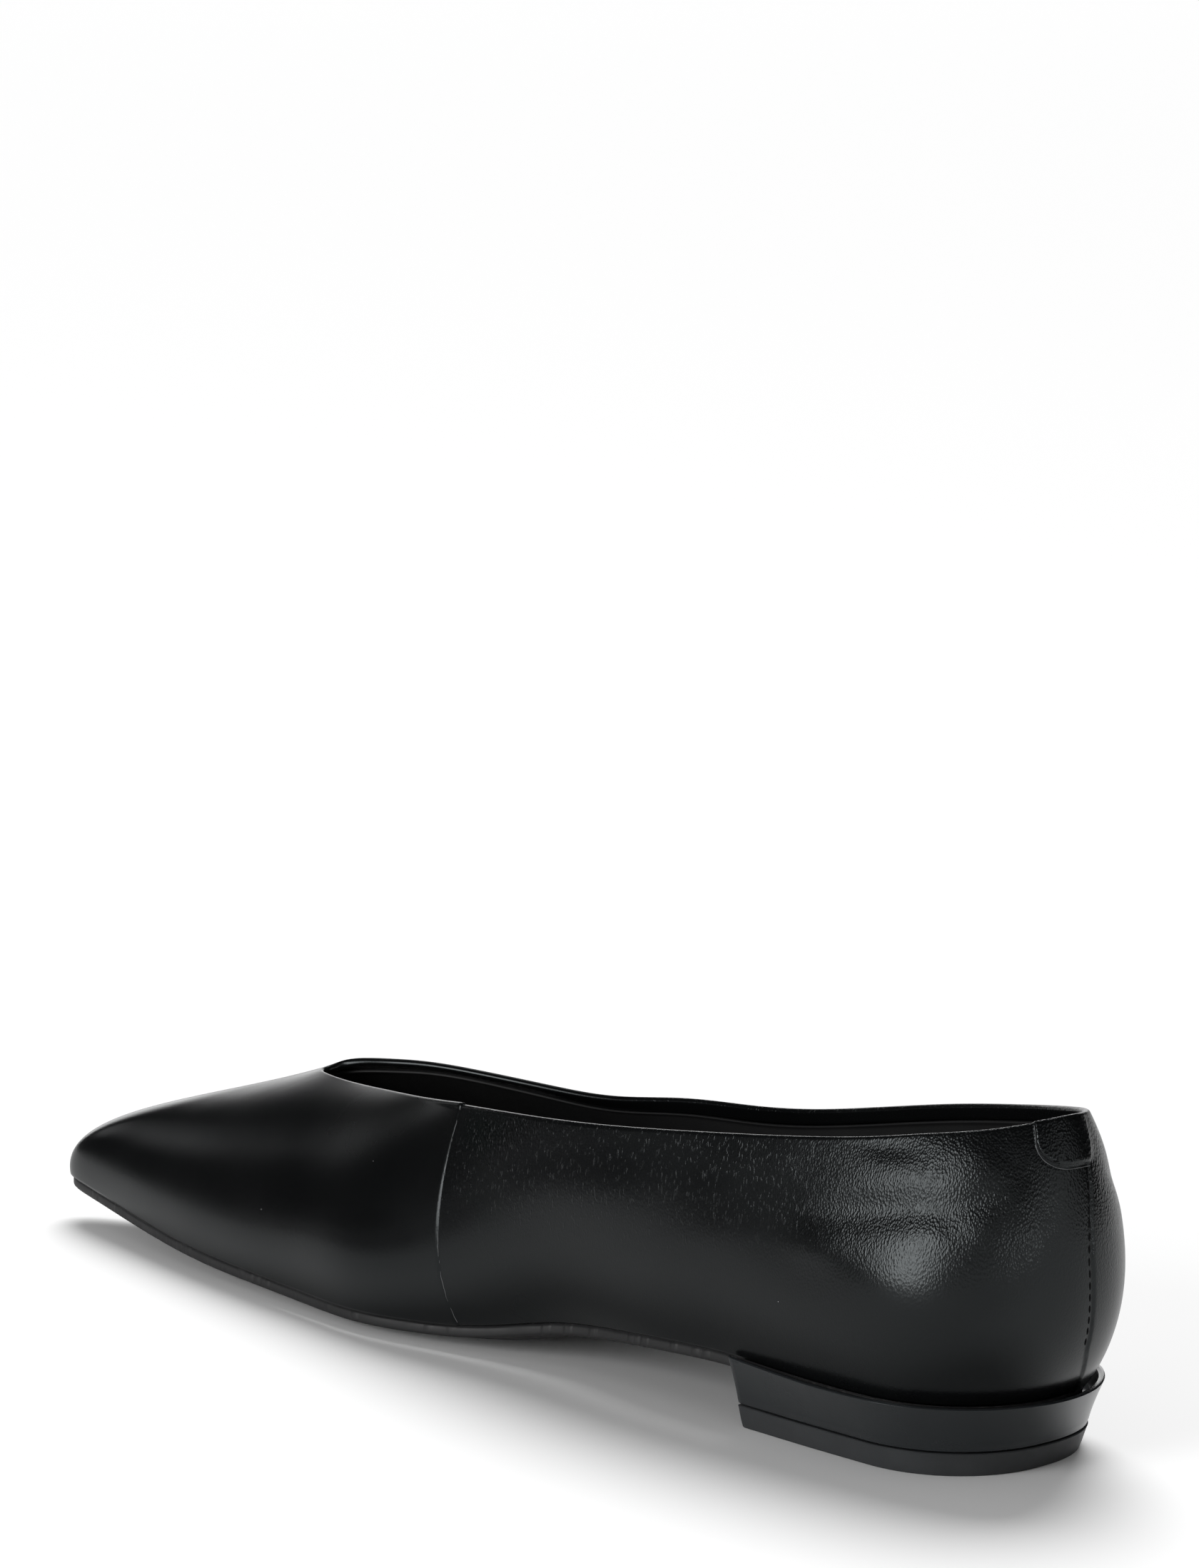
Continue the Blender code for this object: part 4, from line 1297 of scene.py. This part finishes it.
@dataclass
class StudioCamera:
    """The photograph's view: a long lens behind the inner side, a little above the floor."""

    azimuth: float = 43.0
    elevation: float = 15.5
    roll: float = 2.0
    distance: float = 1.8
    pixels_per_m: float = 7250.0
    frame_width: float = 1680.0
    frame_height: float = 2197.0
    target: tuple[float, float, float] = (0.0, 3.0 * MM, 0.0)
    target_pixel: tuple[float, float] = (1344.0, 2010.0)
    sensor: float = 36.0

    def build(self) -> bpy.types.Object:
        """The camera, turned so that the target falls on its pixel."""
        turn, tilt = math.radians(self.azimuth), math.radians(self.elevation)
        back = Vector((-math.sin(turn) * math.cos(tilt), math.cos(turn) * math.cos(tilt),
                       math.sin(tilt)))
        focal = self.distance * self.pixels_per_m
        forward = -back
        right = forward.cross(Vector((0.0, 0.0, 1.0))).normalized()
        up = right.cross(forward)
        pan = math.atan((self.target_pixel[0] - self.frame_width / 2) / focal)
        nod = math.atan((self.frame_height / 2 - self.target_pixel[1]) / focal)
        ahead = forward * math.cos(pan) - right * math.sin(pan)
        right = right * math.cos(pan) + forward * math.sin(pan)
        aim = ahead * math.cos(nod) - up * math.sin(nod)
        up = up * math.cos(nod) + ahead * math.sin(nod)
        spin = math.radians(self.roll)
        across = right * math.cos(spin) + up * math.sin(spin)
        upward = up * math.cos(spin) - right * math.sin(spin)
        lens = bpy.data.cameras.new("studio_camera")
        lens.sensor_width = self.sensor
        lens.lens = focal * self.sensor / self.frame_height
        lens.clip_start = 0.05
        lens.clip_end = 60.0
        camera = bpy.data.objects.new("studio_camera", lens)
        turned = Matrix((across, upward, -aim)).transposed().to_4x4()
        camera.matrix_world = Matrix.Translation(Vector(self.target) + back * self.distance) @ turned
        bpy.context.scene.collection.objects.link(camera)
        bpy.context.scene.camera = camera
        return camera


def hang(light: bpy.types.Light, place: Vector, away: Vector) -> bpy.types.Object:
    """A lamp at its place that shines along away."""
    lamp = bpy.data.objects.new(light.name, light)
    lamp.location = place
    lamp.rotation_euler = away.to_track_quat("-Z", "Y").to_euler()
    bpy.context.scene.collection.objects.link(lamp)
    return lamp


def area_light(name: str, width: float, height: float, radiance: float) -> bpy.types.Light:
    """A rectangular light; radiance is its face's brightness, where the lit floor is 1."""
    light = bpy.data.lights.new(name, "AREA")
    light.shape = "RECTANGLE"
    light.size, light.size_y = width, height
    light.energy = math.pi * width * height * radiance
    return light


@dataclass(frozen=True)
class SoftBox:
    """A rectangular lamp that stands on the floor and faces the heel.

    azimuth: direction from the shoe in degrees; distance, width, height and foot in metres
    radiance: brightness of its face, where the lit floor is 1
    """

    name: str
    azimuth: float
    distance: float
    width: float
    height: float
    radiance: float
    foot: float = 0.02
    lights_floor: bool = False

    def build(self) -> bpy.types.Object:
        """The lamp: it shows in reflections, and only lights_floor lets it light matt faces."""
        light = area_light(self.name, self.width, self.height, self.radiance)
        turn = math.radians(self.azimuth)
        away = Vector((-math.cos(turn), -math.sin(turn), 0.0))
        place = -away * self.distance
        place.z = self.foot + self.height / 2.0
        lamp = hang(light, place, away)
        lamp.visible_diffuse = self.lights_floor
        return lamp


SOFT_BOXES = (
    SoftBox("side_box", 81.5, 1.6, 0.88, 0.90, 7.4, lights_floor=True),
    SoftBox("fill_box", 130.0, 2.6, 2.40, 1.80, 0.35),
    SoftBox("strip_box", 157.0, 1.5, 0.32, 0.36, 4.4),
    SoftBox("rear_box", 189.0, 1.5, 1.25, 1.00, 0.78),
    SoftBox("backdrop", -38.0, 3.0, 2.30, 1.02, 1.8),
    SoftBox("toe_box", 4.5, 0.79, 0.17, 0.10, 0.7, foot=0.175),
)


@dataclass
class Studio:
    """White floor, dim surroundings, one broad light from above and behind, soft boxes."""

    floor_half: float = 9.0
    floor_white: float = 0.86
    sun_strength: float = 3.3
    sun_angle: float = 37.0
    sun_from: tuple[float, float, float] = (0.66, -0.74, 1.27)
    ambient: float = 0.29
    mirrored_ambient: float = 0.012
    # Painted reflections of the floor: bounds of the painted shade patch in x and y, its level, and
    # the floor's painted level in reflections away from and near the shoe
    dark_near: tuple[float, float] = (0.10, 0.18)
    dark_far: tuple[float, float] = (0.90, 1.40)
    dark_y: tuple[float, float] = (0.10, 0.18)
    patch_level: float = 0.06
    mirrored_white: float = 0.54
    near_white: float = 0.72
    near_y: tuple[float, float] = (0.035, 0.085)
    top_size: float = 0.9
    top_place: tuple[float, float, float] = (0.95, -0.80, 1.75)
    top_radiance: float = 2.0

    def floor(self) -> bpy.types.Object:
        """A white floor to the eye; to reflections it is painted darker, and off the shoe's inner
        side the leather mirrors a painted shade patch.
        """
        nodes = Nodes("white_floor")
        where = nodes.add("ShaderNodeTexCoord")
        axes = nodes.add("ShaderNodeSeparateXYZ")
        nodes.link(where.outputs["Object"], axes.inputs["Vector"])
        starts = nodes.spread(axes.outputs["X"], 0.0, 1.0, *self.dark_near)
        ends = nodes.spread(axes.outputs["X"], 1.0, 0.0, *self.dark_far)
        beside = nodes.spread(axes.outputs["Y"], 0.0, 1.0, *self.dark_y)
        path = nodes.add("ShaderNodeLightPath")
        # the floor that reflections see: painted dimmer, less so near the shoe, and nearly black in
        # the painted shade patch
        painted_shade_patch = nodes.math("MULTIPLY", nodes.math("MULTIPLY", starts, ends), beside)
        near = nodes.spread(axes.outputs["Y"], self.near_white, self.mirrored_white, *self.near_y)
        level = nodes.math("MULTIPLY", near, nodes.spread(painted_shade_patch, 1.0, self.patch_level))
        seen = nodes.math("MULTIPLY", path.outputs["Is Glossy Ray"],
                          nodes.math("SUBTRACT", self.floor_white, level))
        white = nodes.math("SUBTRACT", self.floor_white, seen)
        nodes.link(white, nodes.shader.inputs["Base Color"])
        nodes.shader.inputs["Roughness"].default_value = 0.9
        nodes.shader.inputs["Specular IOR Level"].default_value = 0.1
        half = self.floor_half
        corners = np.array([(-half, -half, 0.0), (half, -half, 0.0),
                            (half, half, 0.0), (-half, half, 0.0)])
        piece = mesh_piece("studio_floor", corners, [(0, 1, 2, 3)], nodes.material)
        return piece

    def surroundings(self) -> bpy.types.World:
        """An even fill that hardly shows in reflections."""
        world = bpy.data.worlds.new("surroundings")
        world.use_nodes = True
        tree = world.node_tree
        background = tree.nodes["Background"]
        path = tree.nodes.new("ShaderNodeLightPath")
        level = tree.nodes.new("ShaderNodeMapRange")
        level.inputs["To Min"].default_value = self.ambient
        level.inputs["To Max"].default_value = self.mirrored_ambient
        tree.links.new(path.outputs["Is Glossy Ray"], level.inputs["Value"])
        tree.links.new(level.outputs["Result"], background.inputs["Strength"])
        background.inputs["Color"].default_value = (1.0, 1.0, 1.0, 1.0)
        return world

    def build(self) -> None:
        """Floor, surroundings and lamps."""
        self.floor()
        scene = bpy.context.scene
        scene.world = self.surroundings()
        scene.view_settings.view_transform = "Standard"
        self.overhead()
        for box in SOFT_BOXES:
            box.build()
        self.overhead_box()

    def overhead(self) -> bpy.types.Object:
        """The broad light from above and behind, kept out of reflections."""
        sun = bpy.data.lights.new("overhead", "SUN")
        sun.energy = self.sun_strength
        sun.angle = math.radians(self.sun_angle)
        lamp = hang(sun, Vector((0.0, 0.0, 0.0)), -Vector(self.sun_from))
        lamp.visible_glossy = False
        return lamp

    def overhead_box(self) -> bpy.types.Object:
        """The lamp that draws light lines along upward edges."""
        light = area_light("overhead_box", self.top_size, self.top_size, self.top_radiance)
        place = Vector(self.top_place)
        lamp = hang(light, place, -place)
        lamp.visible_diffuse = False
        return lamp


@dataclass
class FlatShoe:
    """The whole shoe: its parts are built in a maker's order."""

    last: Last = field(default_factory=Last)

    def build(self) -> None:
        """Builds and dresses every piece."""
        upper = LeatherUpper(self.last)
        self._upper(upper)
        self._soles()
        self._heel()
        self._stitches(upper)

    def _upper(self, upper: LeatherUpper) -> None:
        """The leather, its cut edges and its lining."""
        dress(upper.build(SmoothLeather().build()), "upper_leather", "upper", "back_tab")
        # pale edge tubes: a pale line on the side seam, a painted highlight on the strap end's border
        for edge in CutEdges(self.last, upper).build(PaleEdgeAndHighlight().build()):
            dress(edge, "upper_leather")
        cover = SoftLining("lining_leather", (0.0050, 0.0050, 0.0053)).build()
        dress(Lining(self.last).build(cover), "lining", "upper")

    def _soles(self) -> None:
        """The outsole and the footbed on it."""
        last = self.last
        plates = SolePlates(last)
        rubber = MattRubber("sole_sheet", (0.006, 0.006, 0.0065), tread_per_m=330.0).build()
        sheet = plates.plate("outsole_sheet", 0.7 * MM, 0.0, last.outsole_thickness, 0.7 * MM, rubber)
        dress(sheet, "sole_rubber", "outsole")
        cover = SoftLining("footbed_cover", (0.0080, 0.0080, 0.0084), 0.55).build()
        low = last.outsole_thickness + last.gap
        footbed = plates.plate("footbed", last.wall + 2 * last.gap, low,
                               low + last.insole_thickness, 0.5 * MM, cover, 0.4 * MM)
        dress(footbed, "lining", "insole")

    def _heel(self) -> None:
        """The wrapped block and its top piece."""
        heel = LowHeel(self.last)
        dress(heel.block(GlossWrap().build()), "heel_wrap", "heel")
        rubber = MattRubber("top_piece_rubber", (0.0180, 0.0195, 0.0210), (0.45, 0.60)).build()
        dress(heel.top_piece(rubber), "lift_rubber", "heel_lift")

    def _stitches(self, upper: LeatherUpper) -> None:
        """The back seam's row and the strap end's row."""
        thread = WaxedThread().build()
        rises = np.linspace(0.245, 0.825, 220)
        path = upper.on_leather(upper.back_seam(rises) + 0.0012, rises, 0.0)
        row = StitchRow("back_seam_stitches", 2.35 * MM, 1.70 * MM, 0.36 * MM)
        dress(row.build(path, thread), "upper_leather")
        rises = np.full(60, 1.0 - 0.80 * (1.0 - upper.tab_bottom))
        path = upper.on_leather(np.linspace(0.0165, -0.0035, 60), rises, 0.02 * MM)
        row = StitchRow("strap_end_stitches", 2.0 * MM, 1.4 * MM, 0.34 * MM)
        dress(row.build(path, thread), "upper_leather", "back_tab")


def main() -> None:
    """Builds camera, studio and shoe, and notes the sizes."""
    logging.basicConfig(level=logging.INFO, format="%(name)s: %(message)s")
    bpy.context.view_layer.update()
    StudioCamera().build()
    Studio().build()
    FlatShoe().build()


if __name__ == "__main__":
    main()
